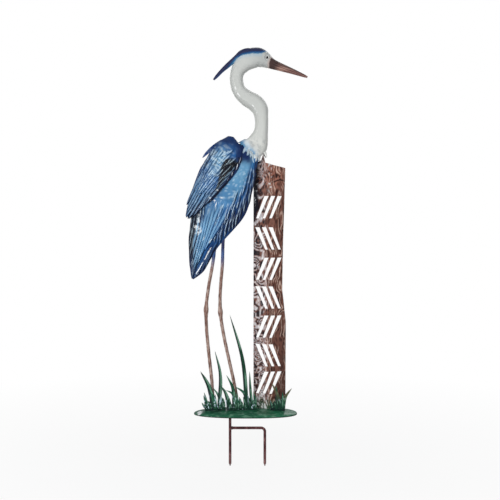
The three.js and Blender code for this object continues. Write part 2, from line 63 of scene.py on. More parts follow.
POST_LEFT = 19.5
POST_CENTRE = 58
POST_FRONT = 8
POST_SAGITTA = 18
POST_RIGHT = [(0, 98), (220, 99), (275, 93), (300, 90), (420, 92), (510, 95), (620, 98)]
POST_TOP = [(19.5, 600), (30, 612), (38, 616), (43, 633), (48, 610), (65, 605), (77, 602), (98, 598)]
STROKE_ROWS = [502, 426, 352, 282, 211, 141, 74]
STROKES_PER_ROW = 3
STROKE_LENGTH = 54
STROKE_TOP = 10
STROKE_FOOT = 6
STROKE_SLANT = 11
STROKE_PITCH = 16
STROKE_CENTRE = 56

# Forms along a spine: x, z, half width in the heron's plane, half depth across it
NECK_ROWS = [
    (12, 635, 38, 21), (25, 649.5, 29.4, 19), (32, 665, 23.5, 16), (37, 683, 17.5, 13),
    (39, 703, 16, 12.5), (38, 721, 17, 13), (34.4, 738.2, 20.2, 14), (23.5, 752, 21, 14),
    (7.4, 761.6, 20, 13.5), (-8, 773.4, 18, 13), (-17.2, 786.4, 16.5, 12.5), (-21.1, 802, 16.2, 12),
    (-21.6, 817, 16.2, 12), (-18.1, 829.6, 17.5, 12.5), (-11.6, 840.4, 20.5, 13.5), (0, 852, 23.4, 14.5),
    (15, 859.5, 25, 15), (31, 861.5, 24, 14.5), (45, 856.4, 20.3, 12.5), (56, 850.2, 15.3, 10),
    (65, 845.9, 12.4, 8), (82, 839.5, 10, 6.2), (113, 828.5, 6.8, 4), (143, 817, 3.4, 2),
    (149.5, 814.5, 2, 1.2),
]
CREST_ROWS = [
    (27, 869, 8, 12), (8, 874.5, 10, 12.5), (-8, 870.5, 9.6, 11), (-19.5, 861.5, 8.2, 9),
    (-33, 851, 6.6, 6), (-45.4, 840.3, 6, 4.2), (-57.4, 829.3, 4.8, 2.8), (-69.4, 816.3, 4, 1.8),
    (-76.8, 808, 2.2, 1.2),
]
BODY_ROWS = [
    (12, 646, 20, 4), (5, 635, 31, 12), (-13, 600, 41, 22), (-28, 557, 48, 23), (-49.7, 511.8, 56.6, 21),
    (-74.6, 474.7, 53.6, 16), (-98.1, 426.7, 40.5, 11), (-109, 388, 28.8, 7.5), (-117.6, 354, 18.8, 5),
    (-125.8, 334, 7, 2.5), (-128, 328, 2.5, 1.2),
]
WING_ROWS = [
    (-35, 671, 7, 13), (-39.3, 652.2, 27.6, 24), (-52.4, 611.2, 40.5, 31), (-80.4, 572.3, 36.5, 31),
    (-104.3, 540.2, 25.4, 25), (-122, 515, 15, 17), (-133, 497, 9, 11), (-141.5, 479, 3.5, 7),
]
RIM_HALF = 0.8
WING_BACK = 3

LEG_RADIUS = 4.2
KNEE_RADIUS = 6.2
KNEE_REACH = 11
KNEE_KNOT = 3
SCALE_PITCH = 4.2
LEGS = {
    "left_leg": [
        (-71, 1, 424), (-75, 1, 398), (-78, 1, 373), (-95.5, 1, 253), (-81, 2, 68), (-77.5, 2, 11.5),
    ],
    "right_leg": [
        (-52, 1, 446), (-54.5, 1, 412), (-55.5, 1, 373), (-61, 3, 247), (-27, 5, 70), (-17, 5, 12),
    ],
}

# Grass: the clump's y, then each blade's x and z at its foot, middle and tip, and its width
GRASS = {
    "grass_far_left": (-9, [
        ((-76, 14), (-89, 69), (-109, 105), 12), ((-70, 14), (-84, 56), (-96, 86), 9),
        ((-90, 14), (-95, 35), (-100, 54), 6), ((-94, 14), (-99, 19), (-106, 29), 6),
    ]),
    "grass_left": (-6, [
        ((-64, 14), (-61, 96), (-74, 154), 9), ((-59, 14), (-66, 46), (-79, 65), 7),
        ((-52, 14), (-54, 28), (-57, 42), 6),
    ]),
    "grass_middle": (-14, [
        ((-40, 14), (-48, 53), (-62, 73), 9), ((-22, 14), (-31, 51), (-47, 60), 8),
        ((-27, 14), (-31, 66), (-46, 97), 9), ((-35, 14), (-38, 30), (-42, 48), 7),
        ((-17, 14), (-19, 34), (-22, 54), 6),
    ]),
    "grass_tall": (-8, [
        ((3.5, 14), (-7, 132), (-38, 242), 9.5), ((2, 14), (-3, 51), (-25, 68), 8),
        ((-13, 14), (-14, 24), (-14, 43), 6), ((17, 14), (12, 60), (10, 105), 7),
        ((23, 14), (22, 34), (19, 56), 6),
    ]),
    "grass_right": (-9, [
        ((85, 14), (77, 48), (63, 77), 9), ((88, 14), (89, 30), (90, 55), 7),
        ((91, 14), (97, 43), (112, 64), 8), ((77, 14), (76, 40), (74, 71), 8),
        ((65, 14), (63, 22), (60, 36), 6),
    ]),
}
BLADE_HALF = 1.1
CLUMP_HEIGHT = 7

# Points round a rod, the plate and a blade, and rows of points along them
SIDES = 20
PLATE_SIDES = 180
BLADE_SIDES = 14
BLADE_ROWS = 37
LEG_ROWS = 230
ROD_ROWS = 90
CLUMP_ROWS = 60


def tint(red, green, blue):
    """Linear colour from sRGB values up to 255."""
    value = np.array([red, green, blue]) / 255
    return np.where(value <= 0.04045, value / 12.92, ((value + 0.055) / 1.055) ** 2.4)


# Paint colours, and the colours of painted highlights and shade
INK = tint(17, 21, 31)
SLATE = tint(50, 55, 66)
NAVY = tint(20, 42, 86)
BLUE = tint(30, 84, 142)
STEEL = tint(74, 134, 176)
SKY = tint(126, 172, 202)
ICE = tint(190, 212, 224)
WHITE = tint(238, 240, 240)
# White of the painted highlights on the neck
PAINTED_HIGHLIGHT_WHITE = tint(255, 255, 255)
CAP_NAVY = tint(38, 42, 74)
PALE_GREY = tint(188, 190, 186)
LIGHT_GREY = tint(206, 207, 202)
SHADE_GREY = tint(158, 162, 162)
STRAW = tint(150, 146, 136)
PUPIL = tint(8, 8, 10)
IRIS = tint(206, 204, 196)
BEAK_DARK = tint(70, 52, 50)
BEAK = tint(122, 88, 82)
BEAK_PALE = tint(182, 146, 132)
LEG = tint(128, 98, 88)
LEG_PALE = tint(176, 156, 146)
LEG_DARK = tint(84, 60, 52)
BARK_DARK = tint(44, 24, 20)
BARK = tint(116, 76, 64)
BARK_TAN = tint(206, 178, 162)
BARK_RED = tint(150, 100, 84)
BARK_HIGHLIGHT_GREY = tint(190, 182, 184)
GREEN = tint(30, 88, 62)
GREEN_DARK = tint(10, 48, 34)
GREEN_PALE = tint(128, 172, 146)
# Painted shade on the ground plate's rim
PLATE_RIM_SHADE = tint(30, 34, 34)
MOSS = tint(100, 92, 66)
RUST = tint(86, 50, 52)
RUST_PALE = tint(176, 132, 128)
RUST_DARK = tint(52, 26, 26)


def within(value):
    """The value, kept between 0 and 1."""
    return np.clip(value, 0, 1)


def ease(low, high, value):
    """Smooth step from 0 at low to 1 at high."""
    part = within((value - low) / (high - low))
    return part * part * (3 - 2 * part)


def fall(low, high, value):
    """Smooth step from 1 at low to 0 at high."""
    return 1 - ease(low, high, value)


def bell(*gaps):
    """1 where every gap is 0, falling off over one unit of any gap."""
    return np.exp(-sum(gap ** 2 for gap in gaps))


def mix(a, b, weight):
    """Colour between a, at weight 0, and b, at weight 1."""
    weight = np.asarray(weight, float)[..., None]
    return np.asarray(a) * (1 - weight) + np.asarray(b) * weight


def coats(colour, *layers):
    """Paints brushed over a colour in turn, each with its weight."""
    for paint, weight in layers:
        colour = mix(colour, paint, weight)
    return colour


def spread(count):
    """That many even shares from 0 to 1."""
    return np.linspace(0, 1, count)


def turns(count):
    """Angles of that many points round a circle."""
    return 2 * np.pi * np.arange(count) / count


def between(a, b, share):
    """Value at a share of the way from a to b."""
    return a + (b - a) * share


def on_edge(edge, place):
    """Value of an edge, given as pairs of place and value."""
    return np.interp(place, *np.array(edge).T)


def cell(x, y, seed):
    """Random number from 0 to 1 for each whole-number cell."""
    word = (x * 374761393 + y * 668265263 + seed * 1442695041) & 0xFFFFFFFF
    word = ((word ^ (word >> 13)) * 1274126177) & 0xFFFFFFFF
    return ((word ^ (word >> 16)) & 0xFFFF) / 65535.0


def noise(x, y, seed):
    """Smooth random field from 0 to 1, with features one unit apart."""
    x, y = np.broadcast_arrays(np.asarray(x, float), np.asarray(y, float))
    left, low = np.floor(x).astype(np.int64), np.floor(y).astype(np.int64)
    a, b = x - left, y - low
    a, b = a * a * (3 - 2 * a), b * b * (3 - 2 * b)
    below = between(cell(left, low, seed), cell(left + 1, low, seed), a)
    above = between(cell(left, low + 1, seed), cell(left + 1, low + 1, seed), a)
    return between(below, above, b)


def rough(x, y, seed):
    """Random field with three sizes of features."""
    middle, small = noise(2.1 * x, 2.1 * y, seed + 1), noise(4.3 * x, 4.3 * y, seed + 2)
    return (noise(x, y, seed) + 0.5 * middle + 0.25 * small) / 1.75


def curve(points, u):
    """Centripetal Catmull-Rom curve through points, read at u from 0 to 1."""
    points = np.asarray(points, float)
    padded = np.vstack([2 * points[0] - points[1], points, 2 * points[-1] - points[-2]])
    place = within(np.asarray(u, float)) * (len(points) - 1)
    index = np.minimum(place.astype(int), len(points) - 2)
    w = (place - index)[..., None]
    p0, p1, p2, p3 = (padded[index + k] for k in range(4))
    pairs = ((p0, p1), (p1, p2), (p2, p3))
    d0, d1, d2 = (np.sqrt(np.linalg.norm(b - a, axis=-1, keepdims=True)) for a, b in pairs)
    d1 = np.where(d1 < 1e-4, 1, d1)
    d0 = np.where(d0 < 1e-4, d1, d0)
    d2 = np.where(d2 < 1e-4, d1, d2)
    start = ((p1 - p0) / d0 - (p2 - p0) / (d0 + d1) + (p2 - p1) / d1) * d1
    end = ((p2 - p1) / d1 - (p3 - p1) / (d1 + d2) + (p3 - p2) / d2) * d1
    square, cube = w * w, w * w * w
    return p1 + start * w + (3 * (p2 - p1) - 2 * start - end) * square + (2 * (p1 - p2) + start + end) * cube


def unit(vectors):
    """The vectors, with length 1."""
    return vectors / np.maximum(np.linalg.norm(vectors, axis=-1, keepdims=True), 1e-9)


def turned(vectors):
    """Vectors in the heron's plane after a quarter turn."""
    return np.stack([-vectors[:, 1], vectors[:, 0]], 1)


def reach(points):
    """Length of a line of points up to each of them."""
    return np.r_[0, np.cumsum(np.linalg.norm(np.diff(points, axis=0), axis=1))]


def walk(knots, fineness, shares):
    """Points of the curve through knots, at shares of its length."""
    dense = curve(knots, spread(fineness))
    walked = reach(dense)
    return np.stack([np.interp(shares * walked[-1], walked, column) for column in dense.T], 1)


def folded(near, far):
    """Rows of the near side, then of the far side backwards, as rings round a shape."""
    return np.concatenate([near, far[:, ::-1]], axis=1)


class Form:
    """A shape along a spine in the heron's plane: u runs along it from 0 to 1, t across it from -1 to 1."""

    samples = 480

    def __init__(self, rows):
        rows = np.array(rows, float)
        self.u = spread(self.samples + 1)
        self.centres = curve(rows[:, :2], self.u)
        step = 1e-4
        tangents = unit(curve(rows[:, :2], self.u + step) - curve(rows[:, :2], self.u - step))
        self.acrosses = turned(tangents)
        self.sizes = curve(rows[:, 2:], self.u)
        self.pace = np.gradient(reach(self.centres), self.u)

    def read(self, table, u):
        return np.stack([np.interp(u, self.u, column) for column in table.T], -1)

    def half(self, u):
        return np.interp(u, self.u, self.sizes[:, 0])

    def deep(self, u):
        return np.interp(u, self.u, self.sizes[:, 1])

    def point(self, u, t):
        u, t = np.broadcast_arrays(np.asarray(u, float), np.asarray(t, float))
        return self.read(self.centres, u) + self.read(self.acrosses, u) * (self.half(u) * t)[..., None]

    def locate(self, plane):
        """The u and t of points in the heron's plane."""
        flat = plane.reshape(-1, 2)
        gaps = ((flat[:, None, :] - self.centres[None]) ** 2).sum(-1)
        near = gaps.argmin(1)
        along = ((flat - self.centres[near]) * -turned(self.acrosses[near])).sum(1)
        u = within(self.u[near] + along / self.pace[near])
        offset = flat - self.read(self.centres, u)
        t = (offset * self.read(self.acrosses, u)).sum(1) / self.half(u)
        return u.reshape(plane.shape[:-1]), t.reshape(plane.shape[:-1])


neck = Form(NECK_ROWS)
crest = Form(CREST_ROWS)
body = Form(BODY_ROWS)
wing = Form(WING_ROWS)


def body_depth(u, t):
    """Half depth of the body at a place on it."""
    swell = np.maximum(0, 1 - np.abs(np.clip(t, -1, 1)) ** 2.2) ** 0.7
    return RIM_HALF + body.deep(u) * swell


def wing_depth(u, t):
    """Distance of a wing's face from the heron's plane."""
    t = np.clip(t, -1, 1)
    wrap = np.sin(np.pi / 2 * within((t + 1.02) / 1.25))
    flank = 1 - 0.2 * within((t - 0.23) / 0.77) ** 2
    return WING_BACK + (wing.deep(u) - WING_BACK) * wrap * flank


class Shells:
    """Closed shells gathered into one mesh, with a paint colour at each point."""

    def __init__(self):
        self.points = []
        self.paint = []
        self.faces = []
        self.count = 0

    def add(self, points, paint, faces):
        """One shell, turned to face out. faces holds arrays of quads and of triangles."""
        volume = 0
        for part in faces:
            corners = points[part]
            for k in range(1, part.shape[1] - 1):
                volume += (corners[:, 0] * np.cross(corners[:, k], corners[:, k + 1])).sum()
        if volume < 0:
            faces = [part[:, ::-1] for part in faces]
        self.points.append(points)
        self.paint.append(np.broadcast_to(paint, points.shape))
        self.faces += [part + self.count for part in faces]
        self.count += len(points)

    def loft(self, rings, paint, strip=False):
        """Shell through rings of equally many points. Its ends are closed by fans, or by strips from each
        end ring's first half to its second."""
        rows, count = rings.shape[:2]
        r, i = np.meshgrid(np.arange(rows - 1), np.arange(count), indexing="ij")
        j = (i + 1) % count
        sides = np.stack([r * count + i, r * count + j, (r + 1) * count + j, (r + 1) * count + i], -1)
        points = rings.reshape(-1, 3)
        paint = np.broadcast_to(paint, rings.shape).reshape(-1, 3)
        last = (rows - 1) * count
        if strip:
            k = np.arange(count // 2 - 1)
            cap = np.stack([k, count - 1 - k, count - 2 - k, k + 1], 1)
            faces = [sides.reshape(-1, 4), cap, last + cap[:, ::-1]]
        else:
            k = np.arange(count)
            centre = rows * count
            first = np.stack([(k + 1) % count, k, np.full(count, centre)], 1)
            final = np.stack([last + k, last + (k + 1) % count, np.full(count, centre + 1)], 1)
            faces = [sides.reshape(-1, 4), first, final]
            ends = [rings[0].mean(0), rings[-1].mean(0)]
            points = np.vstack([points, ends])
            paint = np.vstack([paint, paint[:1], paint[-1:]])
        self.add(points, paint, faces)

    def mesh(self, name, sharp):
        mesh = bpy.data.meshes.new(name)
        points = np.vstack(self.points) * MM
        loops = np.concatenate([part.ravel() for part in self.faces])
        sizes = np.concatenate([np.full(len(part), part.shape[1]) for part in self.faces])
        mesh.vertices.add(len(points))
        mesh.vertices.foreach_set("co", points.ravel())
        mesh.loops.add(len(loops))
        mesh.loops.foreach_set("vertex_index", loops)
        mesh.polygons.add(len(sizes))
        mesh.polygons.foreach_set("loop_start", np.r_[0, np.cumsum(sizes)[:-1]])
        mesh.update(calc_edges=True)
        mesh.validate()
        colours = mesh.attributes.new("paint", "FLOAT_COLOR", "POINT")
        paint = np.vstack(self.paint)
        colours.data.foreach_set("color", np.hstack([paint, np.ones((len(paint), 1))]).ravel())
        mesh.polygons.foreach_set("use_smooth", np.ones(len(mesh.polygons), bool))
        mesh.set_sharp_from_angle(angle=math.radians(sharp))
        return mesh


# Materials

def new_material(name):
    material = bpy.data.materials.new(name)
    material.use_nodes = True
    return material, material.node_tree


def add_node(tree, kind, **values):
    """Shader node with its settings and its sockets' values by name, where _ stands for a space."""
    made = tree.nodes.new("ShaderNode" + kind)
    for key, value in values.items():
        socket = key.replace("_", " ")
        if socket in made.inputs:
            made.inputs[socket].default_value = value
        else:
            setattr(made, key, value)
    return made


def join(tree, start, output, end, socket):
    tree.links.new(start.outputs[output], end.inputs[socket])


def painted(name, gloss, mottle, grain, bump, coat):
    """Enamel over metal: the brushed colours of the attribute, mottled, with a fine uneven film."""
    material, tree = new_material(name)
    shader = tree.nodes["Principled BSDF"]
    shader.inputs["Coat Weight"].default_value = coat
    shader.inputs["Coat Roughness"].default_value = 0.12
    shader.inputs["Specular IOR Level"].default_value = 0.2
    paint = add_node(tree, "Attribute", attribute_name="paint")
    place = add_node(tree, "TexCoord")
    stretched = add_node(tree, "Mapping", Scale=(1, 1, 0.35))
    clouds = add_node(tree, "TexNoise", Scale=grain, Detail=5.0, Roughness=0.62)
    flecks = add_node(tree, "TexNoise", Scale=grain * 5, Detail=3.0, Roughness=0.7)
    span = add_node(tree, "MapRange", From_Min=0.3, From_Max=0.7, To_Min=1 - mottle, To_Max=1 + mottle)
    shaded = add_node(tree, "VectorMath", operation="SCALE")
    film = add_node(tree, "MapRange", To_Min=gloss - 0.07, To_Max=gloss + 0.12)
    relief = add_node(tree, "Bump", Strength=bump, Distance=0.0006)
    join(tree, place, "Object", stretched, "Vector")
    join(tree, stretched, "Vector", clouds, "Vector")
    join(tree, place, "Object", flecks, "Vector")
    join(tree, clouds, "Fac", span, "Value")
    join(tree, paint, "Color", shaded, 0)
    join(tree, span, "Result", shaded, "Scale")
    join(tree, shaded, "Vector", shader, "Base Color")
    join(tree, flecks, "Fac", film, "Value")
    join(tree, film, "Result", shader, "Roughness")
    join(tree, flecks, "Fac", relief, "Height")
    join(tree, relief, "Normal", shader, "Normal")
    return material


MATERIALS = {
    "pale_grey_paint": painted("pale_grey_enamel", 0.3, 0.02, 40, 0.03, 0.25),
    "feather_blue_paint": painted("feather_blue_enamel", 0.4, 0.08, 120, 0.15, 0.07),
    "wing_blue_paint": painted("wing_blue_enamel", 0.4, 0.08, 120, 0.15, 0.07),
    "leg_grey_paint": painted("leg_enamel", 0.5, 0.12, 180, 0.3, 0.0),
    "bark_brown_paint": painted("bark_enamel", 0.42, 0.12, 160, 0.35, 0.1),
    "grass_green_paint": painted("grass_enamel", 0.36, 0.1, 110, 0.25, 0.1),
    "stake_brown_paint": painted("stake_enamel", 0.4, 0.15, 150, 0.3, 0.1),
}


def piece(name, shells, slot, nodes, sharp=38):
    """Piece made of shells, which replaces nodes of the part."""
    made = bpy.data.objects.new(name, shells.mesh(name, sharp))
    bpy.context.scene.collection.objects.link(made)
    made.data.materials.append(MATERIALS[slot])
    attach(made, "root")
    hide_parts(*nodes)


# Feathers

# A feather from its root to its tip, bowed sideways, with its edge lifted off the form
Feather = namedtuple("Feather", "root tip width bow lift")
# The pale colour, then how strong the broad light band, the thin line and the dark gap are, how broken the
# line is, and how dark the root. The gap is dark paint and painted shade under the next feather's edge,
# the root is painted shade under the feathers that cover it
Stroke = namedtuple("Stroke", "pale light line gap broken root")
# How far a feather's underside lies below the form's face
FEATHER_ROOT_DEPTH = 1.2


def toward(tip, lean, length):
    """Root of a feather with this tip that hangs leaning to the left, by degrees from upright."""
    angle = math.radians(lean)
    return (tip[0] + length * math.sin(angle), tip[1] + length * math.cos(angle))


def feather_grid(feather, rows, columns):
    """Points of a feather in the heron's plane, with s along it and c across it at each, and its length."""
    root, tip = np.array(feather.root, float), np.array(feather.tip, float)
    s = (1 - (1 - spread(rows + 1)) ** 1.5)[:, None]
    c = np.linspace(-1, 1, columns + 1)[None, :]
    chord = tip - root
    length = np.hypot(*chord)
    side = np.array([-chord[1], chord[0]]) / length
    bend = (root + tip) / 2 + side * 2 * feather.bow
    line = (1 - s) ** 2 * root + 2 * s * (1 - s) * bend + s ** 2 * tip
    tangent = unit((1 - s) * (bend - root) + s * (tip - bend))
    swell = 0.6 + 0.4 * np.sin(np.pi * np.minimum(s / 1.2, 0.5))
    half = feather.width / 2 * swell * np.maximum(1.02 - s ** 4, 0) ** 0.7
    plane = line[:, None, :] + turned(tangent)[:, None, :] * (half * c)[..., None]
    return plane, s + 0 * c, c + 0 * s, length


def feather_rise(s, c, lift):
    """Height over the form: the tip and the rear edge are lifted, and the front edge lies low."""
    profile = np.where(c > 0, 1 - 0.9 * np.abs(c) ** 1.5, 1 - 0.35 * np.abs(c) ** 1.5)
    return lift * (0.2 + 0.8 * s) * profile


def feather_paint(base, stroke, s, c, length, seed):
    """Brush strokes along a feather: a light band with a thin pale line, and dark toward the next one,
    partly painted shade under its edge, with painted shade at the root.
    """
    place = c + 0.25 * (noise(s * length / 18, seed, seed) - 0.5)
    shown = ease(0.04, 0.35, s)
    line = bell((place + 0.36) / 0.2) * fall(0.85, 1, s)
    gap = ease(-0.05, 0.22, place) + 0.6 * ease(0.86, 1, -c)
    touch = ease(stroke.broken - 0.2, stroke.broken + 0.2, noise(s * length / 8, seed + 7, seed + 1))
    tone = 0.74 + 0.52 * noise(seed * 0.37, s * length / 30, 17)
    bright = 0.55 + 0.9 * noise(seed * 0.71, s * length / 45, 19)
    return coats(
        base * tone[..., None],
        (stroke.pale, stroke.light * bell((place + 0.52) / 0.36) * shown),
        (stroke.pale, within(stroke.line * bright) * line * touch * shown),
        # Dark gap toward the next feather: dark paint and painted shade under its edge
        (base * 0.2 + INK * 0.6, stroke.gap * within(gap) * between(shown, 1, stroke.root)),
        # Painted shade at the root, under the covering feathers
        (base * 0.3, stroke.root * 0.6 * fall(0, 0.3, s)),
    )


def add_feather(shells, form, depth, side, feather, field, stroke, seed, rows=26, columns=8, under=0.2):
    """One feather laid on a form, with a raised shaft, slanted barbs and brush strokes."""
    plane, s, c, length = feather_grid(feather, rows, columns)
    x, z = plane[..., 0], plane[..., 1]
    u, t = form.locate(plane)
    face = depth(u, t)
    barbs = np.sin(2 * np.pi * (s * length / 3 - np.abs(c) * 1.3))
    shaft = bell(c / 0.16) * (1 - s ** 6)
    rise = feather_rise(s, c, feather.lift) + 0.4 * shaft + 0.03 * barbs * (1 - shaft) * (1 - c ** 4)
    outer = np.dstack([x, side * (face + rise), z])
    inner = np.dstack([x, side * (face - FEATHER_ROOT_DEPTH), z])[:, [-1, 0]]
    base = field(u, t, x, z)
    paint = feather_paint(base, stroke, s, c, length, seed)
    # The underside is painted darker than the face, as shade
    shells.loft(np.concatenate([outer, inner], axis=1), np.concatenate([paint, base[:, :2] * under], axis=1))


# Wings

# Tips of the flight feathers, from the outermost round the wing's end and up its front margin
FLIGHT_TIPS = [
    (-142, 507), (-141, 495), (-142.5, 483), (-142.5, 475), (-133, 474.5), (-117, 489),
    (-101, 503), (-87, 518), (-74, 534), (-62, 551), (-52, 568),
]


def band_edge(u):
    """The t where the wing's dark band of painted shade starts, and the t where it ends."""
    start = np.interp(u, (0.24, 0.27, 0.32, 0.37, 0.43, 0.48, 0.54), (0.4, 0.03, 0, 0.24, 0.46, 0.72, 0.95))
    return start, np.interp(u, (0.23, 0.26, 0.31, 0.38, 0.43, 0.52), (0.62, 0.84, 0.72, 0.74, 0.8, 0.92))


def wing_field(u, t, x, z):
    """Broad colours of a wing."""
    blotch = rough(x / 9, z / 9, 11)
    lower = ease(0.42, 0.6, u) * fall(0.55, 1, np.abs(t + 0.05))
    along, aside = 0.38 * (x + 64) + 0.92 * (z - 612), 0.92 * (x + 64) - 0.38 * (z - 612)
    wisps = ease(0.5, 0.7, noise(x / 6 + z / 5, z / 8 - x / 12, 5)) * bell(along / 46, aside / 24)
    start, end = band_edge(u)
    # Near-black band: painted shade where the wing's margin turns under
    inside = ease(-0.05, 0.12, t - start + 0.12 * (blotch - 0.5)) * ease(0.23, 0.27, u) * fall(0.48, 0.56, u)
    colour = coats(
        BLUE,
        (NAVY, ease(0.55, 0.98, np.abs(t + 0.03))),
        (STEEL, 0.35 * lower),
        (NAVY, 0.22 * ease(0.45, 0.6, u) + 0.6 * ease(0.6, 0.88, u)),
        (SKY, 0.75 * bell(along / 34, aside / 18)),
        (ICE, 0.75 * wisps),
        (NAVY, 0.95 * fall(0.1, 0.24, u + 0.05 * (blotch - 0.5))),
        (INK, inside),
        # Painted shade past the band's end, on the wing's turned-under margin
        (NAVY, ease(-0.02, 0.06, t - end) * ease(0.1, 0.25, u) * 0.9),
    )
    return highlight_spots_and_slits(colour * (0.88 + 0.24 * blotch)[..., None], x, z)


# Rows of small feathers down a wing: the u of their tips, how many, and their length
COVERT_ROWS = [(0.62, 9, 58), (0.53, 9, 50), (0.45, 9, 42), (0.375, 8, 32), (0.31, 7, 22)]
# The same in the dark band, without the count
BAND_ROWS = [(0.47, 34), (0.42, 32), (0.37, 28), (0.33, 24), (0.29, 18)]
# The u of the tips of the small pale feathers on the wing's front margin
MARGIN_TIPS = [0.38, 0.34, 0.3, 0.265]


def wing_feathers(random, flights):
    """Feathers of a wing from the lowest layer to the highest, each with its brush strokes."""
    made = []

    def hang(tip, lean, length, width, bow, lift, stroke):
        made.append((Feather(toward(tip, lean, length), tuple(tip), width, bow, lift), stroke))

    flight = Stroke(mix(STEEL, ICE, 0.45), 0.35, 0.8, 1, 0.4, 1)
    for f in spread(flights):
        tip = curve(FLIGHT_TIPS, f) + random.normal(0, 0.4, 2)
        lean = between(25, 44, f) + random.normal(0, 0.8)
        hang(tip, lean, between(120, 44, f), between(14, 11, f), 3, 2.8, flight)
    for row, (u_row, count, length) in enumerate(COVERT_ROWS):
        for f in spread(count):
            t_tip = between(-0.86, min(band_edge(u_row)[0] + 0.05, 0.8), f) + random.normal(0, 0.03)
            tip = wing.point(u_row - 0.05 * f + random.normal(0, 0.02), t_tip)
            lean = between(24, 42, f) + 2 * row + random.normal(0, 3)
            bright = math.exp(-((t_tip + 0.25) / 0.5) ** 2)
            stroke = Stroke(ICE, 0.1 + 0.25 * bright, 0.3 + 0.5 * bright, 0.9 - 0.35 * bright, 0.35, 0.3)
            hang(tip, lean, length, 9, 1.5, 2.2, stroke)
    band = Stroke(STRAW, 0, 0.6, 1, 0.55, 1)
    for u_row, length in BAND_ROWS:
        start, end = band_edge(u_row)
        for f in (0.2, 0.55, 0.9):
            tip = wing.point(u_row + random.normal(0, 0.012), between(start, end, f))
            hang(tip, 20 + random.normal(0, 6), length, 7, 4, 1.9, band)
    margin = Stroke(WHITE, 0.3, 0.9, 1, 0.5, 1)
    for u_tip in MARGIN_TIPS:
        hang(wing.point(u_tip, 0.92), 12 + random.normal(0, 3), 20, 6, 1.5, 2, margin)
    return made


def wing_shells(side, flights, fine):
    shells = Shells()
    rows, columns = (130, 56) if fine else (70, 26)
    u, t = np.meshgrid(spread(rows + 1), np.linspace(-1, 1, columns + 1), indexing="ij")
    plane = wing.point(u, t)
    x, z = plane[..., 0], plane[..., 1]
    depth = wing_depth(u, t)
    outer = np.dstack([x, side * depth, z])
    inner = np.dstack([x, side * (depth - SHEET), z])
    field = wing_field(u, t, x, z)
    # The wing's underside is painted darker, as shade
    shells.loft(folded(outer, inner), folded(field, field * 0.3), strip=True)
    rows, columns = (34, 14) if fine else (16, 6)
    for k, (feather, stroke) in enumerate(wing_feathers(np.random.default_rng(7), flights)):
        add_feather(shells, wing, wing_depth, side, feather, wing_field, stroke, 20 + k, rows, columns)
    return shells


def make_wings():
    piece("near_wing_feathers", wing_shells(-1, 12, True), "wing_blue_paint", ["near_wing"])
    far = wing_shells(1, 10, False)
    leading = Feather((-58, 662), (-104, 621), 9, -2, 3)
    stroke = Stroke(SKY, 0.3, 0.6, 0.2, 0.3, 0.2)
    # Its underside faces the camera, so it is painted brighter than the usual painted shade underneath
    add_feather(far, wing, wing_depth, 1, leading, wing_field, stroke, 5, under=1.5)
    piece("far_wing_feathers", far, "wing_blue_paint", ["far_wing"])


# Body and tail

# Painted highlights as white spots on the feathers: each place's x and z, and how far it spreads both ways
HIGHLIGHT_SPOTS = [(-114, 457, 10, 24), (-71, 511, 6, 9), (-84, 522, 5, 5), (-65, 541, 3.6, 3.6), (-58, 526, 3.6, 3.6),
        (-102, 424, 4, 5)]

# White slits between the lower tail feathers: the x and z of both ends, and the half width
SLITS = [((-84, 403), (-98, 376), 1.2), ((-103, 368), (-119, 340), 1.1), ((-82, 424), (-88, 415), 1.3)]


def body_field(u, t, x, z):
    """Broad colours of the body, with painted shade beside the wing, under its tips and under the neck's
    foot.
    """
    blotch = rough(x / 8, z / 10, 31)
    pale = between(0.4, 0.08, ease(0.2, 0.36, u)) + 0.3 * ease(0.45, 0.8, noise(x / 9, z / 12, 33))
    flecks = ease(0.64, 0.84, noise((x + z) / 4.6, (z - x) / 6, 37))
    flecks = flecks * ease(0.16, 0.24, u) * fall(0.45, 0.55, u)
    rim = t - np.interp(u, (0.2, 0.3, 0.37, 0.43), (0.5, 0.42, 0.25, 0.02))
    before_tip = fall(0.75, 0.95, u)
    hem = z - 617 + 0.26 * x + 9 * (blotch - 0.5)
    colour = coats(
        mix(STEEL, SLATE, 0.12),
        (SKY, pale),
        (BLUE, 0.5 * ease(0.25, 0.45, u)),
        (ICE, 0.5 * flecks),
        (BLUE, ease(-0.05, 0.25, rim) * before_tip),
        (NAVY, ease(0.2, 0.65, rim) * before_tip * (1 - 0.6 * ease(0.45, 0.6, u))),
        # Dark tail side: dark paint, with painted shadow under the wing tips and painted shade on the side
        # turned away
        (NAVY, ease(0.3, 0.5, -t) * ease(0.45, 0.56, u)),
        (INK, ease(0.45, 0.75, -t) * ease(0.46, 0.52, u) * 0.85),
        (NAVY, ease(0.66, 0.86, u) * 0.95),
        (NAVY, ease(0.3, 0.6, t) * ease(0.58, 0.66, u)),
        # Painted shade on the body under and beside the wing
        (NAVY, 0.85 * fall(-0.75, -0.2, t) * fall(0.42, 0.5, u)),
        # Painted shade under the foot of the neck
        (NAVY, ease(-17, 1, hem) * fall(6, 24, x) * ease(-34, -20, x)),
    )
    return highlight_spots_and_slits(colour * (0.88 + 0.24 * blotch)[..., None], x, z)


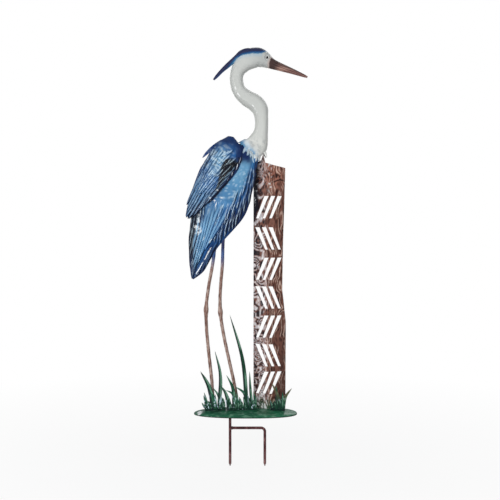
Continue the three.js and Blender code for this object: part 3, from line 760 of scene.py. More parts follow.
def highlight_spots_and_slits(colour, x, z):
    """Painted highlights as white spots, and white slits, over a colour."""
    for k, (at_x, at_z, wide, high) in enumerate(HIGHLIGHT_SPOTS):
        near = bell((x - at_x) / wide, (z - at_z) / high)
        spots = ease(0.64, 0.72, 0.8 * noise(x / 3.2, z / 3.4, 71 + k) + 0.35 * near)
        colour = mix(colour, WHITE, spots * ease(0.25, 0.4, near))
    for start, end, half in SLITS:
        chord = np.subtract(end, start)
        along, up = x - start[0], z - start[1]
        share = within((along * chord[0] + up * chord[1]) / (chord @ chord))
        gap = np.hypot(along - share * chord[0], up - share * chord[1])
        colour = mix(colour, WHITE, fall(0.7, 1.1, gap / half))
    return colour


# Rows of flank feathers: the t of the row, the u of its first and last tips, and how many
FLANK_ROWS = [(0.95, 0.19, 0.6, 13), (0.76, 0.21, 0.6, 13), (0.57, 0.28, 0.6, 11), (0.38, 0.38, 0.6, 8),
              (0.19, 0.47, 0.58, 5)]
# The long tail feathers' roots and tips, from the left one to the right one
LONG_ROOTS = [(-106, 486), (-84, 505), (-60, 517), (-32, 514)]
LONG_TIPS = [(-127, 398), (-126, 369), (-123, 350), (-115, 369), (-101, 392), (-87, 414)]


def body_feathers(random):
    """Feathers of the body from the lowest layer to the highest, each with its brush strokes."""
    made = []

    def hang(u_tip, t_tip, lean, length, width, bow, lift, stroke):
        tip = body.point(u_tip, t_tip)
        made.append((Feather(toward(tip, lean, length), tuple(tip), width, bow, lift), stroke))

    dark = Stroke(ICE, 0.1, 0.75, 0.9, 0.4, 0.5)
    for t_row in (-0.95, -0.78, -0.6, -0.42):
        for f in spread(7):
            u_tip = between(0.54, 0.97, f) + random.normal(0, 0.008)
            hang(u_tip, t_row, between(6, 16, f) + random.normal(0, 1.5), 60, 6, 1, 2, dark)
    lower = Stroke(SKY, 0.1, 0.3, 0.9, 0.5, 0.5)
    for f in spread(5):
        hang(between(0.78, 0.975, f), between(0.95, 0.75, f), between(26, 33, f), 84, 9, -2, 2.6, lower)
    flank = Stroke(ICE, 0.2, 0.85, 0.95, 0.45, 0)
    collar = Stroke(STEEL, 0.3, 0.5, 0.7, 0.5, 0)
    for t_row, high, low, count in FLANK_ROWS:
        for f in spread(count):
            u_tip = between(high, low, f) + random.normal(0, 0.006)
            t_tip = t_row + random.normal(0, 0.03)
            lean = between(9, 24, (0.95 - t_row) / 0.8) + between(-2, 5, f) + random.normal(0, 1.5)
            hang(u_tip, t_tip, lean, 38, 7.5, -1, 2.2, flank if f > 0.05 or t_row < 0.5 else collar)
    long = Stroke(SKY, 0.6, 0.6, 0.8, 0.3, 0)
    for f in spread(8):
        root = curve(LONG_ROOTS, f) + random.normal(0, 1, 2)
        tip = curve(LONG_TIPS, f) + random.normal(0, 1, 2)
        made.append((Feather(tuple(root), tuple(tip), 15, 2, 3), long))
    return made


def make_body():
    shells = Shells()
    rows, columns = 150, 44
    t_row = np.sin(np.pi / 2 * np.linspace(-1, 1, columns + 1))
    u, t = np.meshgrid(spread(rows + 1), t_row, indexing="ij")
    plane = body.point(u, t)
    x, z = plane[..., 0], plane[..., 1]
    depth = body_depth(u, t)
    near, far = (np.dstack([x, side * depth, z]) for side in (-1, 1))
    field = body_field(u, t, x, z)
    shells.loft(folded(near, far), folded(field, field), strip=True)
    for side, (rows, columns) in ((-1, (26, 12)), (1, (14, 6))):
        for k, (feather, stroke) in enumerate(body_feathers(np.random.default_rng(3))):
            add_feather(shells, body, body_depth, side, feather, body_field, stroke, 200 + k, rows, columns)
    piece("body_and_tail_feathers", shells, "feather_blue_paint", ["body_with_tail"])


# Neck and head

# Lower edge of the cap by x, and the beak's edge by z
CAP_EDGE = [(-80, 802), (-60, 822), (-33, 845.5), (-22, 857), (-7, 864.5), (17, 868), (38, 868), (47, 872.5),
            (56, 880)]
BEAK_EDGE = [(800, 57), (836, 57.5), (845.5, 56.3), (856, 60), (862, 64), (900, 66)]
EYE = (51.3, 859.3)
EYE_RADIUS = 3.7
# Size of the painted highlight on each eye
EYE_HIGHLIGHT_SIZE = 0.632
HEAD_RIM = 1.2
# Painted highlights: bright lines of gloss along the back of the neck
NECK_HIGHLIGHTS = [[(-27, 797), (-21, 777), (-12, 764)], [(14, 748), (22, 739), (27, 727)]]
# How far the neck's foot is drawn in at the front, and up to which u
HEM_CUT = 0.4
HEM_RISE = 0.05
# Lower edge of the pale feathers at the neck's foot: x, then z
HEM_LINE = [(-2, 10, 20, 27, 34, 43), (626, 620, 608, 606, 620, 624)]


def neck_swell(t):
    """Share of the neck's depth at each place across it."""
    return np.maximum(0, 1 - np.abs(t) ** 3.4) ** 0.6


def cap_paint(above):
    """Cap and crest by the height above the cap's edge: a lighter blue border under dark navy."""
    colour = mix(STEEL * 0.8, BLUE * 0.65, ease(0.5, 3.5, above))
    return mix(colour, CAP_NAVY, ease(4.5, 7, above))


def head_field(u, t, x, z):
    """Colours of the neck and head, with painted shade, painted light and painted highlights."""
    side = np.abs(t)
    hem = fall(4, 20, z - 643 + 0.75 * (x + 2)) * ease(0.3, 0.6, noise(x / 3.2, z / 9, 43)) * fall(20, 40, x)
    colour = coats(
        PALE_GREY,
        (LIGHT_GREY, 0.7 * fall(0, 0.3, u)),
        # Painted shade over the head and throat
        (SHADE_GREY, 0.4 * ease(0.6, 0.72, u)),
        # Painted light on the sides of the neck, then painted shade along its turned edge
        (LIGHT_GREY, ease(0.84, 0.92, side) * 0.7),
        (SHADE_GREY, ease(0.95, 1, side) * 0.6),
        (mantle_field(u, t, x, z), fall(654, 676, z)),
        # Painted shade at the neck's foot beside the wing
        (NAVY, fall(-26, -14, x) * fall(640, 664, z)),
        (STEEL, hem * 0.75),
    )
    # Painted highlights along the back of the neck, broken up
    broken = ease(0.35, 0.6, noise(x / 2.6, z / 4, 45))
    for glint in NECK_HIGHLIGHTS:
        points = curve(glint, spread(41))
        gap = np.min(np.hypot(x[..., None] - points[:, 0], z[..., None] - points[:, 1]), axis=-1)
        colour = mix(colour, PAINTED_HIGHLIGHT_WHITE, 0.9 * bell(gap / 0.9) * broken)
    above = z - on_edge(CAP_EDGE, x)
    past = x - on_edge(BEAK_EDGE, z)
    grain = noise(x / 16 + z / 3.2, z / 2.2 + x / 6.5, 47)
    top = neck.point(u, 0 * t)[..., 1]
    dark = within(fall(13, 30, past + 5 * grain) + 0.8 * ease(0, 3, z - top))
    horn = coats(BEAK, (BEAK_PALE, ease(0.5, 0.75, grain) * 0.8), (BEAK_DARK, dark))
    return coats(
        colour,
        (SKY, 0.3 * bell((above + 3) / 4) * (u > 0.4) * (x < 40)),
        (cap_paint(above), ease(-0.8, 0.8, above) * (x < 60) * (u > 0.4)),
        (BEAK_PALE, 0.45 * bell((past + 1.5) / 3) * (u > 0.6) * fall(862, 868, z)),
        (horn, ease(-0.7, 0.7, past) * (u > 0.6)),
    )


def make_head():
    shells = Shells()
    arc, rows = 30, 300
    u_rows = spread(rows + 1)
    half, deep = neck.half(u_rows), neck.deep(u_rows)
    body_u, body_t = body.locate(neck.point(u_rows, 0.0))
    deep = between(deep, body_depth(body_u, body_t) + 1.2, fall(0, 0.07, u_rows))
    rim_half = np.minimum(RIM_HALF, deep)
    rim = np.minimum(HEAD_RIM, half / 3)
    angle = np.pi * (1 - spread(arc + 1))
    across = np.cos(angle)[None] * (half - rim)[:, None]
    raised = rim_half[:, None] + neck_swell(np.cos(angle))[None] * deep[:, None]
    edge = [np.stack([-half, -half + 0.4 * rim], 1), across, np.stack([half - 0.4 * rim, half], 1)]
    rise = [np.stack([0.5 * rim_half, rim_half], 1), raised, np.stack([rim_half, 0.5 * rim_half], 1)]
    across, raised = np.concatenate(edge, 1), np.concatenate(rise, 1)
    u = np.broadcast_to(u_rows[:, None], across.shape)
    t = across / half[:, None]
    cut = 1 - HEM_CUT * within(1 - u / HEM_RISE) * (t < 0)
    teeth = 5 * np.abs((t[0] + 1) * 8 % 2 - 1) * (0.6 + 0.6 * noise(t[0] * 6, 0, 49))
    falling = fall(0, 0.03, u_rows)[:, None, None]
    plane = neck.point(u, 0.985 * t * cut) + falling * teeth[None, :, None] * turned(neck.acrosses[:1])
    x, z = plane[..., 0], plane[..., 1]

    upper = u > 0.5
    mouth = bell((t + 0.12) / 0.1) * ease(62, 70, x) * upper
    eye_gap = np.hypot(x - EYE[0], z - EYE[1])
    lid_gap = eye_gap - EYE_RADIUS - 1.6
    socket = (0.9 * bell(lid_gap / 1.4) - 0.7 * bell(eye_gap / 3.2)) * (x > 40)
    crease = 0.8 * bell((t - 0.5) / 0.13) * fall(0.5, 0.62, u) * ease(0.03, 0.1, u)
    brow = 0.8 * bell((z - 868 + 0.12 * (x - 45)) / 3.5) * ease(30, 42, x) * fall(56, 62, x)
    cheek = 0.9 * bell((x - 34) / 13, (z - 850) / 8)
    nostril = bell((x - 74) / 5, (z - 846.5 + 0.35 * (x - 74)) / 1.1) * upper
    form = crease + (socket + brow + cheek) * upper - 0.55 * mouth - 0.7 * nostril
    raised = np.maximum(raised + form * ease(0.02, 0.25, 1 - np.abs(t)), 0.2)
    colour = coats(
        head_field(u, t, x, z),
        # Painted shade in the mouth's groove and the nostril
        (BEAK_DARK * 0.4, within(mouth + nostril) * 0.8),
        (SLATE, upper * bell(lid_gap / 0.9) * ease(-1, 3, EYE[0] - x) * 0.6),
        (WHITE, upper * fall(EYE_RADIUS - 0.4, EYE_RADIUS + 0.8, eye_gap)),
    )
    near, far = (np.dstack([x, side * raised, z]) for side in (-1, 1))
    shells.loft(folded(near, far), folded(colour, colour), strip=True)
    add_eyes(shells)
    add_crest(shells)
    add_mantle(shells)
    piece("painted_neck_and_head", shells, "pale_grey_paint", ["neck_and_head"], 180)


def add_eyes(shells):
    """A dark dome in each socket, with a painted highlight."""
    u, t = neck.locate(np.array([EYE], float))
    seat = RIM_HALF + float(neck.deep(u)[0] * neck_swell(t[0])) - 0.6
    tilt = spread(13) * math.pi * 0.52
    turn = turns(28)
    for side in (-1, 1):
        radius = EYE_RADIUS * np.sin(tilt)[:, None]
        x = EYE[0] + radius * np.cos(turn)
        z = EYE[1] + radius * np.sin(turn)
        y = side * (seat + 2.6 * np.cos(tilt)[:, None] + 0 * turn)
        ring = np.hypot(x - EYE[0], z - EYE[1]) / EYE_RADIUS
        colour = mix(PUPIL, IRIS, ease(0.84, 0.92, ring))
        # Painted highlight on the dome
        glint = bell((x - EYE[0] + 1.1) / EYE_HIGHLIGHT_SIZE, (z - EYE[1] - 1.2) / EYE_HIGHLIGHT_SIZE)
        shells.loft(np.dstack([x, y, z]), mix(colour, WHITE, within(1.5 * glint)))


def add_crest(shells):
    rows, count = 110, 36
    u = spread(rows + 1)[:, None]
    angle = turns(count)[None]
    t = 0.97 * np.cos(angle) + 0 * u
    plane = crest.point(u + 0 * angle, t)
    x, z = plane[..., 0], plane[..., 1]
    colour = cap_paint(z - on_edge(CAP_EDGE, x) + 5 * fall(-50, -26, x))
    shells.loft(np.dstack([x, np.sin(angle) * crest.deep(u), z]), colour)


def mantle_field(u, t, x, z):
    """Blue that washes out into the neck's grey."""
    stray = noise(x / 4 - z / 10, z / 8, 41) - 0.5
    streaks = ease(0.5, 0.75, noise(x / 3 + z / 8, z / 6 - x / 9, 44))
    low = fall(0, 14, z - np.interp(x, *HEM_LINE) + 8 * stray)
    return coats(
        BLUE,
        (STEEL, ease(-24, -10, x + 10 * stray)),
        (mix(SKY, ICE, 0.6), ease(-14, 8, x + 20 * stray)),
        (LIGHT_GREY, ease(-4, 34, x + 0.5 * (z - 630) + 14 * stray)),
        (SHADE_GREY, 0.55 * streaks * ease(4, 16, x)),
        (mix(BLUE, STEEL, ease(-8, 12, x)), between(0.9, 0.5, ease(0, 20, x)) * low * fall(28, 36, x)),
    )


def add_mantle(shells):
    """Ragged pale feathers at the foot of the neck, laid over the body."""
    random = np.random.default_rng(13)
    stroke = Stroke(WHITE, 0.1, 0.3, 0.3, 0.4, 0)
    for rise in (0, 8):
        for k, f in enumerate(spread(11)):
            x = between(-2, 43, f)
            z = np.interp(x, *HEM_LINE) + rise + random.normal(0, 2)
            tip = (x + random.normal(0, 1.2), z)
            lean = between(14, -8, f) + random.normal(0, 6)
            feather = Feather(toward(tip, lean, 20), tip, 6, 0.5, 2.0)
            seed = 300 + rise + k
            for side in (-1, 1):
                add_feather(shells, body, body_depth, side, feather, mantle_field, stroke, seed, 14, 6)
    hem = Feather((39, 646), (51.5, 621.5), 7, 1, 1.5)
    shade = Feather((36.5, 641), (49, 620), 4, 1, 0.6)
    for side in (-1, 1):
        add_feather(shells, neck, hem_depth, side, hem, mantle_field, stroke, 340, 20, 6)
        add_feather(shells, neck, hem_depth, side, shade, shade_field, stroke, 341, 14, 6)


def shade_field(u, t, x, z):
    """The same dark brown everywhere."""
    return 0 * x[..., None] + BARK_DARK


def hem_depth(u, t):
    """Half depth of the neck's foot, where a pointed feather sticks out beyond it."""
    return RIM_HALF + 4 * np.sqrt(np.maximum(0, 1 - np.clip(t, -1, 1) ** 2))


# Ground plate, stake, post, legs and grass

def plate_outline(turn):
    """Outline of the plate at angles round it, blunter at its right end."""
    cosine, sine = np.cos(turn), np.sin(turn)
    blunt = np.where(cosine < 0, PLATE_LEFT_END, PLATE_RIGHT_END)
    x = PLATE_LENGTH / 2 * np.sign(cosine) * np.abs(cosine) ** blunt
    y = PLATE_DEPTH / 2 * np.sign(sine) * np.abs(sine) ** PLATE_SIDE
    return x, y


def plate_crown(share):
    """Height of the plate's top at a share of the way out to its edge."""
    return PLATE_RIM + (PLATE_CROWN - PLATE_RIM) * np.sqrt(np.maximum(0, 1 - share ** PLATE_SHOULDER))


def plate_height(x, y):
    """Height of the plate's top under points, by the share of the outline through them."""
    end = np.where(x < 0, PLATE_LEFT_END, PLATE_RIGHT_END)
    low, high = np.zeros_like(x, float), np.ones_like(x, float)
    for _ in range(24):
        share = (low + high) / 2
        along = (np.abs(x) / (share * PLATE_LENGTH / 2)) ** (2 / end)
        aside = (np.abs(y) / (share * PLATE_DEPTH / 2)) ** (2 / PLATE_SIDE)
        outside = along + aside > 1
        low, high = np.where(outside, share, low), np.where(outside, high, share)
    return plate_crown(high)


def make_plate():
    shells = Shells()
    x, y = plate_outline(turns(PLATE_SIDES))
    shares = np.r_[0.02, 0.5, 0.97, 1, 1, np.sin(np.linspace(np.pi / 2, 0.01, 34))[1:]]
    heights = np.r_[0, 0, 0, 0.4, PLATE_RIM, plate_crown(shares[5:])]
    px, py = shares[:, None] * x, shares[:, None] * y
    top = (np.arange(len(shares)) > 4)[:, None]
    uneven = 0.9 * (rough(px / 11, py / 11, 81) - 0.5)
    pz = heights[:, None] + ease(0, 0.25, 1 - shares)[:, None] * top * uneven
    # Painted shadow of the grass on the plate, among dark mottles
    shaded = bell((px + 40) / 48, (py + 16) / 14)
    dark = within(0.25 + 0.9 * shaded) * ease(0.5 - 0.2 * shaded, 0.66, rough(px / 13, py / 9, 83))
    # Painted highlight at the plate's left end
    glint = bell((px + 110) / 7, (py + 12) / 18) * (0.5 + noise(px / 3, py / 3, 86))
    colour = coats(
        GREEN * (1.15 + 0.3 * ease(10, 70, px))[..., None],
        (GREEN_DARK, dark),
        (GREEN_PALE, 0.35 * ease(0.6, 0.85, noise(px / 6, py / 4, 85))),
        (WHITE, 0.9 * ease(0.35, 0.65, glint)),
        # Painted shade on the plate's low rim
        (PLATE_RIM_SHADE, fall(1.6, 4, pz) * 0.75),
    )
    # The plate's side and underside are painted at half brightness, as shade
    shells.loft(np.dstack([px, py, pz]), colour * np.where(top, 1, 0.5)[..., None])
    piece("painted_ground_plate", shells, "grass_green_paint", ["ground_plate"], 60)


def add_rod(shells, points, radius, painter):
    """Round rod through points that lie nearly in one plane, with a radius for each point and side."""
    tangent = unit(np.gradient(points, axis=0))
    side = unit(np.cross(tangent, [0, 1, 0]))
    up = np.cross(side, tangent)
    angle = turns(SIDES)[None, :, None]
    spokes = side[:, None] * np.cos(angle) + up[:, None] * np.sin(angle)
    rings = points[:, None] + radius[..., None] * spokes
    shells.loft(rings, painter(rings))


def rod_paint(rings):
    """Worn rusty brown, a little paler at the tips."""
    x, y, z = np.moveaxis(rings, -1, 0)
    worn = rough(x / 3 + y / 2, z / 9, 91)
    return coats(
        RUST,
        (RUST_PALE, ease(0.5, 0.8, worn) * 0.3),
        (RUST_DARK, ease(0.55, 0.2, worn) * 0.7),
        (RUST_PALE, fall(-STAKE_DEPTH + 8, -STAKE_DEPTH + 40, z) * 0.15),
    )


def add_prong(shells, x, z, seed):
    """Hammered rod with a pointed tip."""
    taper = np.clip((z + STAKE_DEPTH) / TIP_LENGTH, 0.4, 1)
    hammered = noise(np.arange(len(x))[:, None] / 4, np.arange(SIDES)[None] / SIDES * 6, seed) - 0.5
    radius = (ROD_RADIUS - 0.05) * taper[:, None] + 0.1 * hammered
    add_rod(shells, np.stack([x, 0 * x, z], 1), radius, rod_paint)


def make_stake():
    tip = 0.2 - STAKE_DEPTH
    rod = Shells()
    add_prong(rod, np.full(ROD_ROWS, ROD_X), np.linspace(-GAP, tip, ROD_ROWS), 93)
    piece("painted_stake_rod", rod, "stake_brown_paint", ["stake_rod"], 60)

    branch = Shells()
    turn = spread(16) * np.pi / 2
    bend_x = BRANCH_X - BRANCH_BEND + BRANCH_BEND * np.sin(turn)
    bend_z = BRANCH_Z - BRANCH_BEND + BRANCH_BEND * np.cos(turn)
    start = ROD_X + ROD_RADIUS - 0.5
    x = np.r_[np.linspace(start, bend_x[0], 50)[:-1], bend_x, np.full(60, BRANCH_X)]
    z = np.r_[np.full(49, BRANCH_Z), bend_z, np.linspace(bend_z[-1], tip, 61)[1:]]
    add_prong(branch, x, z, 95)
    bead = spread(13)
    line = np.stack([start + 5 * (bead - 0.1), 0 * bead, 0 * bead + BRANCH_Z], 1)
    lump = (ROD_RADIUS + 0.9) * np.sqrt(np.maximum(0.02, 1 - (2 * bead - 1) ** 2))
    add_rod(branch, line, np.broadcast_to(lump[:, None], (13, SIDES)), rod_paint)
    piece("painted_stake_branch", branch, "stake_brown_paint", ["stake_branch"], 60)


def leg_paint(rings):
    """Worn brown, with blue at the top and green at the foot."""
    x, y, z = np.moveaxis(rings, -1, 0)
    worn = rough(x / 2.5 + y / 2.5, z / 11, 101)
    stray = worn - 0.5
    return coats(
        LEG,
        (LEG_PALE, ease(0.42, 0.7, worn) * 0.85),
        (LEG_DARK, ease(0.42, 0.2, worn) * 0.8),
        (mix(BLUE, NAVY, ease(385, 405, z)), ease(345, 392, z + 10 * stray) * 0.85),
        (GREEN, fall(14, 72, z + 16 * stray) * 0.75),
    )


def make_legs():
    for k, (node, knots) in enumerate(LEGS.items()):
        shells = Shells()
        points = walk(knots, 1201, spread(LEG_ROWS))
        knee_gap = np.linalg.norm(points - np.array(knots[KNEE_KNOT], float), axis=1)
        radius = between(LEG_RADIUS, KNEE_RADIUS, bell(knee_gap / KNEE_REACH))[:, None]
        height, angle = points[:, 2:], np.arange(SIDES)[None] / SIDES * 5
        scales = np.sin(height * 2 * np.pi / SCALE_PITCH) * ease(0.3, 0.7, noise(height / 20, angle, 7))
        knobs = noise(height / 7, angle, 103 + k) - 0.5
        add_rod(shells, points, radius - 0.2 + 0.14 * scales + 0.5 * knobs, leg_paint)
        piece("painted_" + node, shells, "leg_grey_paint", [node], 60)


def blade_colour(s, a, z, seed, dry, fleck):
    """Green with a painted shaded side and dark edge, a painted highlight streak, painted shade toward the
    foot and white flecks, brown toward the tip where it is dry.
    """
    tone = 0.45 + 0.8 * ((seed * 7) % 10) / 10
    # Painted shade toward the foot, with random darker patches
    shade = 0.75 * fall(12, 40, z) + 0.35 * ease(0.5, 0.8, noise(a * 3.5, s * 5, seed))
    shine = bell((a + 0.45) / 0.3) * ease(0.35, 0.6, noise(s * 7, seed, seed + 3))
    flecks = ease(0.76, 0.86, noise(s * 9, a + seed, seed + 5)) * fall(34, 60, z)
    return coats(
        GREEN * tone,
        # Painted shade on one side of the blade
        (GREEN_DARK, shade),
        (INK, 0.85 * ease(0.2, 0.7, a)),
        # Painted highlight streak
        (GREEN_PALE, 0.85 * shine * ease(0.05, 0.3, s)),
        # Painted shade on the other edge
        (INK, 0.5 * ease(0.8, 1, -a)),
        (ICE, fleck * flecks),
        (MOSS, dry * ease(0.2, 0.8, s)),
    )


def add_blade(shells, blade, y, seed, dry=0, fleck=0.8):
    """Blade of grass, creased along its middle. s runs up it and a across it."""
    foot, middle, tip, width = blade
    s = spread(BLADE_ROWS)[:, None]
    line = walk([foot, middle, tip], 401, s[:, 0])
    across = turned(unit(np.gradient(line, axis=0)))
    half = 0.53 * width * np.maximum(1.01 - s ** 2.6, 0) ** 0.85
    turn = turns(BLADE_SIDES)[None]
    a = np.cos(turn) + 0 * s
    bow = 0.25 + 0.65 * (1 - np.abs(a)) ** 0.8
    crease = BLADE_HALF * (1 - 0.6 * s) * bow * np.sign(np.sin(turn)) * (np.abs(np.sin(turn)) > 1e-6)
    plane = line[:, None] + across[:, None] * (half * a)[..., None]
    depth = y + crease + 0.5 * np.sin(5 * s + seed) * s
    colour = blade_colour(s + 0 * a, a, plane[..., 1], seed, dry, fleck)
    shells.loft(np.dstack([plane[..., 0], depth, plane[..., 1]]), colour)


def make_grass():
    random = np.random.default_rng(23)
    for k, (node, (y, blades)) in enumerate(GRASS.items()):
        shells = Shells()
        feet = [blade[0][0] for blade in blades]
        left, right = min(feet) - 4, max(feet) + 4
        x = np.linspace(left, right, CLUMP_ROWS)
        low = plate_height(x, np.full(CLUMP_ROWS, float(y))) + GAP
        high = low + CLUMP_HEIGHT - 1.6 * noise(x / 2.6, k, 111)
        corners = [(-1, low), (-1, high), (1, high), (1, low)]
        rows = [np.stack([x, 0 * x + y + side * SHEET / 2, z], 1) for side, z in corners]
        # The clump's foot strip is painted near-black, as shade
        shells.loft(np.stack(rows, 1), mix(INK, GREEN_DARK, noise(x / 4, k, 113))[:, None])
        sparse = node == "grass_right"
        for j, blade in enumerate(blades):
            dry = 0.8 if sparse and j in (0, 2) else 0
            add_blade(shells, blade, y, 120 + 10 * k + j, dry, 0.3 if sparse else 0.8)
        for j in range(3 if sparse else int((right - left) / 3.4)):
            foot = random.uniform(left + 3, right - 3)
            height = random.uniform(12, 22 if sparse else 38)
            bend = random.uniform(-10, 5) * height / 30
            middle, tip = (foot + bend * 0.3, 13 + height * 0.5), (foot + bend, 13 + height)
            short = ((foot, 13), middle, tip, random.uniform(5, 8))
            fleck = 0.3 if sparse or j > 9 else 0.8
            add_blade(shells, short, y + random.uniform(-2.2, 2.2), 170 + 10 * k + j, fleck=fleck)
        piece("painted_" + node, shells, "grass_green_paint", [node], 60)


# Knots in the wood: x, z and size
KNOTS = [(84, 548, 10), (62, 585, 9), (33, 265, 9), (86, 225, 10), (34, 110, 9), (88, 400, 9), (86, 120, 9)]
CRACK_Z = 566
RIDGE_PITCH = 6.4
# Columns of faces from the post's left edge over each stroke and strip to its right edge
POST_COLUMNS = [10, 5, 7, 5, 7, 5, 22]
# Heights between which the post's rows are laid out before its foot and top are shaped, and their step
POST_FOOT = 11.3
POST_HEAD = 598
POST_STEP = 1.7


def post_breaks(z):
    """Left and right edges of the post and of its strokes at each height, as columns."""
    half = STROKE_LENGTH / 2
    keys, edges = [], []
    for index, middle in enumerate(STROKE_ROWS):
        slant = STROKE_SLANT if index % 2 == 0 else -STROKE_SLANT
        centres = STROKE_CENTRE + (np.arange(STROKES_PER_ROW) - (STROKES_PER_ROW - 1) / 2) * STROKE_PITCH
        ends = ((middle + half, slant, STROKE_TOP), (middle - half, -slant, STROKE_FOOT))
        for height, shift, width in ends:
            keys.append(height)
            edges.append(np.stack([centres + shift - width / 2, centres + shift + width / 2], 1).ravel())
    keys, edges = np.array(keys)[::-1], np.array(edges)[::-1]
    inner = np.stack([np.interp(z, keys, column) for column in edges.T], -1)
    right = on_edge(POST_RIGHT, z)
    return np.concatenate([np.full((len(z), 1), POST_LEFT), inner, right[:, None]], 1)


def post_levels():
    """Heights of the post's rows of points, with one on each stroke's end, and which have strokes above."""
    half = STROKE_LENGTH / 2
    ends = sorted(middle + sign * half for middle in STROKE_ROWS for sign in (-1, 1))
    stops = [POST_FOOT, *ends, POST_HEAD]
    heights, pierced = [], []
    for k, (low, high) in enumerate(zip(stops, stops[1:])):
        steps = max(3, round((high - low) / POST_STEP))
        heights += list(np.linspace(low, high, steps, endpoint=False))
        pierced += [k % 2 == 1] * steps
    return np.array(heights + [stops[-1]]), np.array(pierced)


def bark(x, z):
    """Height of the bark over the sheet, from 0 in the cracks to 1 on the ridges."""
    wander = 14 * (noise(x / 34, z / 60, 131) - 0.5) + 9 * (noise(x / 12, z / 26, 132) - 0.5)
    for knot_x, knot_z, size in KNOTS:
        gap_x, gap_z = (x - knot_x) / size, (z - knot_z) / (2 * size)
        wander = wander + 0.5 * size * np.clip(gap_x * 3, -1, 1) * bell(gap_x, gap_z)
    fan = 0.06 * (x - 76) * np.exp(-np.abs(z - CRACK_Z) / 14)
    phase = (x + wander) / RIDGE_PITCH + fan + 1.6 * (noise(x / 9, z / 16, 139) - 0.5)
    ridge = 1 - np.abs(2 * (phase % 1) - 1)
    strength = 0.3 + 0.7 * ease(0.3, 0.6, noise(np.floor(phase), z / 22, 135))
    fine = 1 - np.abs(2 * noise((x + wander) / 2.4, z / 12, 134) - 1)
    rings = noise(x / 17 + 0.05 * wander, z / 30, 136)
    rings = 4.5 * between(rings, noise(x / 10, z / 15, 138), fall(180, 340, z))
    swirl = 1 - np.abs(2 * (rings % 1) - 1)
    height = 0.7 * ease(0.3, 0.95, ridge) * strength + 0.3 * fine
    height = between(height, 0.3 * height + 0.7 * ease(0.25, 0.85, swirl), 0.8 * left_bark(x, z))
    crack = bell((z - CRACK_Z - 3 * np.sin(x / 6)) / 1.6) * ease(60, 70, x)
    return within(height - 0.5 * crack)


def left_bark(x, z):
    """1 on the post's left side, where the bark swirls and its ridges get painted grey and white highlights,
    and 0 on its right.
    """
    return fall(40, 60, x + 12 * (noise(x / 20, z / 30, 137) - 0.5))


def make_post():
    shells = Shells()
    z, pierced = post_levels()
    breaks = post_breaks(z)
    columns = [breaks[:, :1]]
    for k, count in enumerate(POST_COLUMNS):
        share = spread(count + 1)[1:]
        columns.append(between(breaks[:, k:k + 1], breaks[:, k + 1:k + 2], share))
    x = np.concatenate(columns, 1)
    z = np.broadcast_to(z[:, None], x.shape)
    bottom = plate_height(x, np.full(x.shape, float(POST_FRONT))) + GAP
    top = on_edge(POST_TOP, x)
    lowest, highest = STROKE_ROWS[-1] - STROKE_LENGTH / 2, STROKE_ROWS[0] + STROKE_LENGTH / 2
    z = np.where(z < lowest, between(bottom, lowest, (z - POST_FOOT) / (lowest - POST_FOOT)), z)
    z = np.where(z > highest, between(highest, top, (z - highest) / (POST_HEAD - highest)), z)

    radius = ((POST_CENTRE - POST_LEFT) ** 2 + POST_SAGITTA ** 2) / (2 * POST_SAGITTA)
    open_sine = (POST_CENTRE - POST_LEFT) / radius
    half_right = on_edge(POST_RIGHT, z) - POST_CENTRE
    swing = (x - POST_CENTRE) / np.where(x > POST_CENTRE, half_right, POST_CENTRE - POST_LEFT)
    sheet = POST_FRONT + radius * (1 - np.sqrt(1 - (swing * open_sine) ** 2))
    height = bark(x, z)
    broad = 1.3 * np.sin(3 * np.pi * swing + 1.4 * np.sin(z / 41) + z / 85)
    front = sheet - 0.4 - broad - 2.6 * (height - 0.5)
    back = sheet + SHEET - broad

    colour = post_colour(x, z, swing, height)
    points = np.concatenate([np.dstack([x, y, z]).reshape(-1, 3) for y in (front, back)])
    paint = np.concatenate([part.reshape(-1, 3) for part in (colour, colour * 0 + BARK_DARK)])
    shells.add(points, paint, post_faces(x.shape, pierced))
    piece("bark_of_post", shells, "bark_brown_paint", ["bark_post"], 55)


def post_faces(shape, pierced):
    """Front and back of the sheet without the cells inside the strokes, and the walls round every edge."""
    rows, columns = shape
    index = np.arange(rows * columns).reshape(rows, columns)
    solid = np.ones((rows - 1, columns - 1), bool)
    start = 0
    for k, count in enumerate(POST_COLUMNS):
        if k % 2 == 1:
            solid[np.ix_(pierced, np.arange(start, start + count))] = False
        start += count
    a, b = index[:-1, :-1][solid], index[:-1, 1:][solid]
    c, d = index[1:, 1:][solid], index[1:, :-1][solid]
    back = rows * columns
    faces = [np.stack([a, b, c, d], 1), np.stack([d, c, b, a], 1) + back]
    padded = np.pad(solid, 1)
    for low, high, first, second in (
        (padded[1:-1, :-1], padded[1:-1, 1:], index[:-1, :], index[1:, :]),
        (padded[:-1, 1:-1], padded[1:, 1:-1], index[:, 1:], index[:, :-1]),
    ):
        for edge, start_at, end_at in ((high & ~low, first, second), (low & ~high, second, first)):
            p, q = start_at[edge], end_at[edge]
            faces.append(np.stack([p, p + back, q + back, q], 1)[:, ::-1])
    return faces


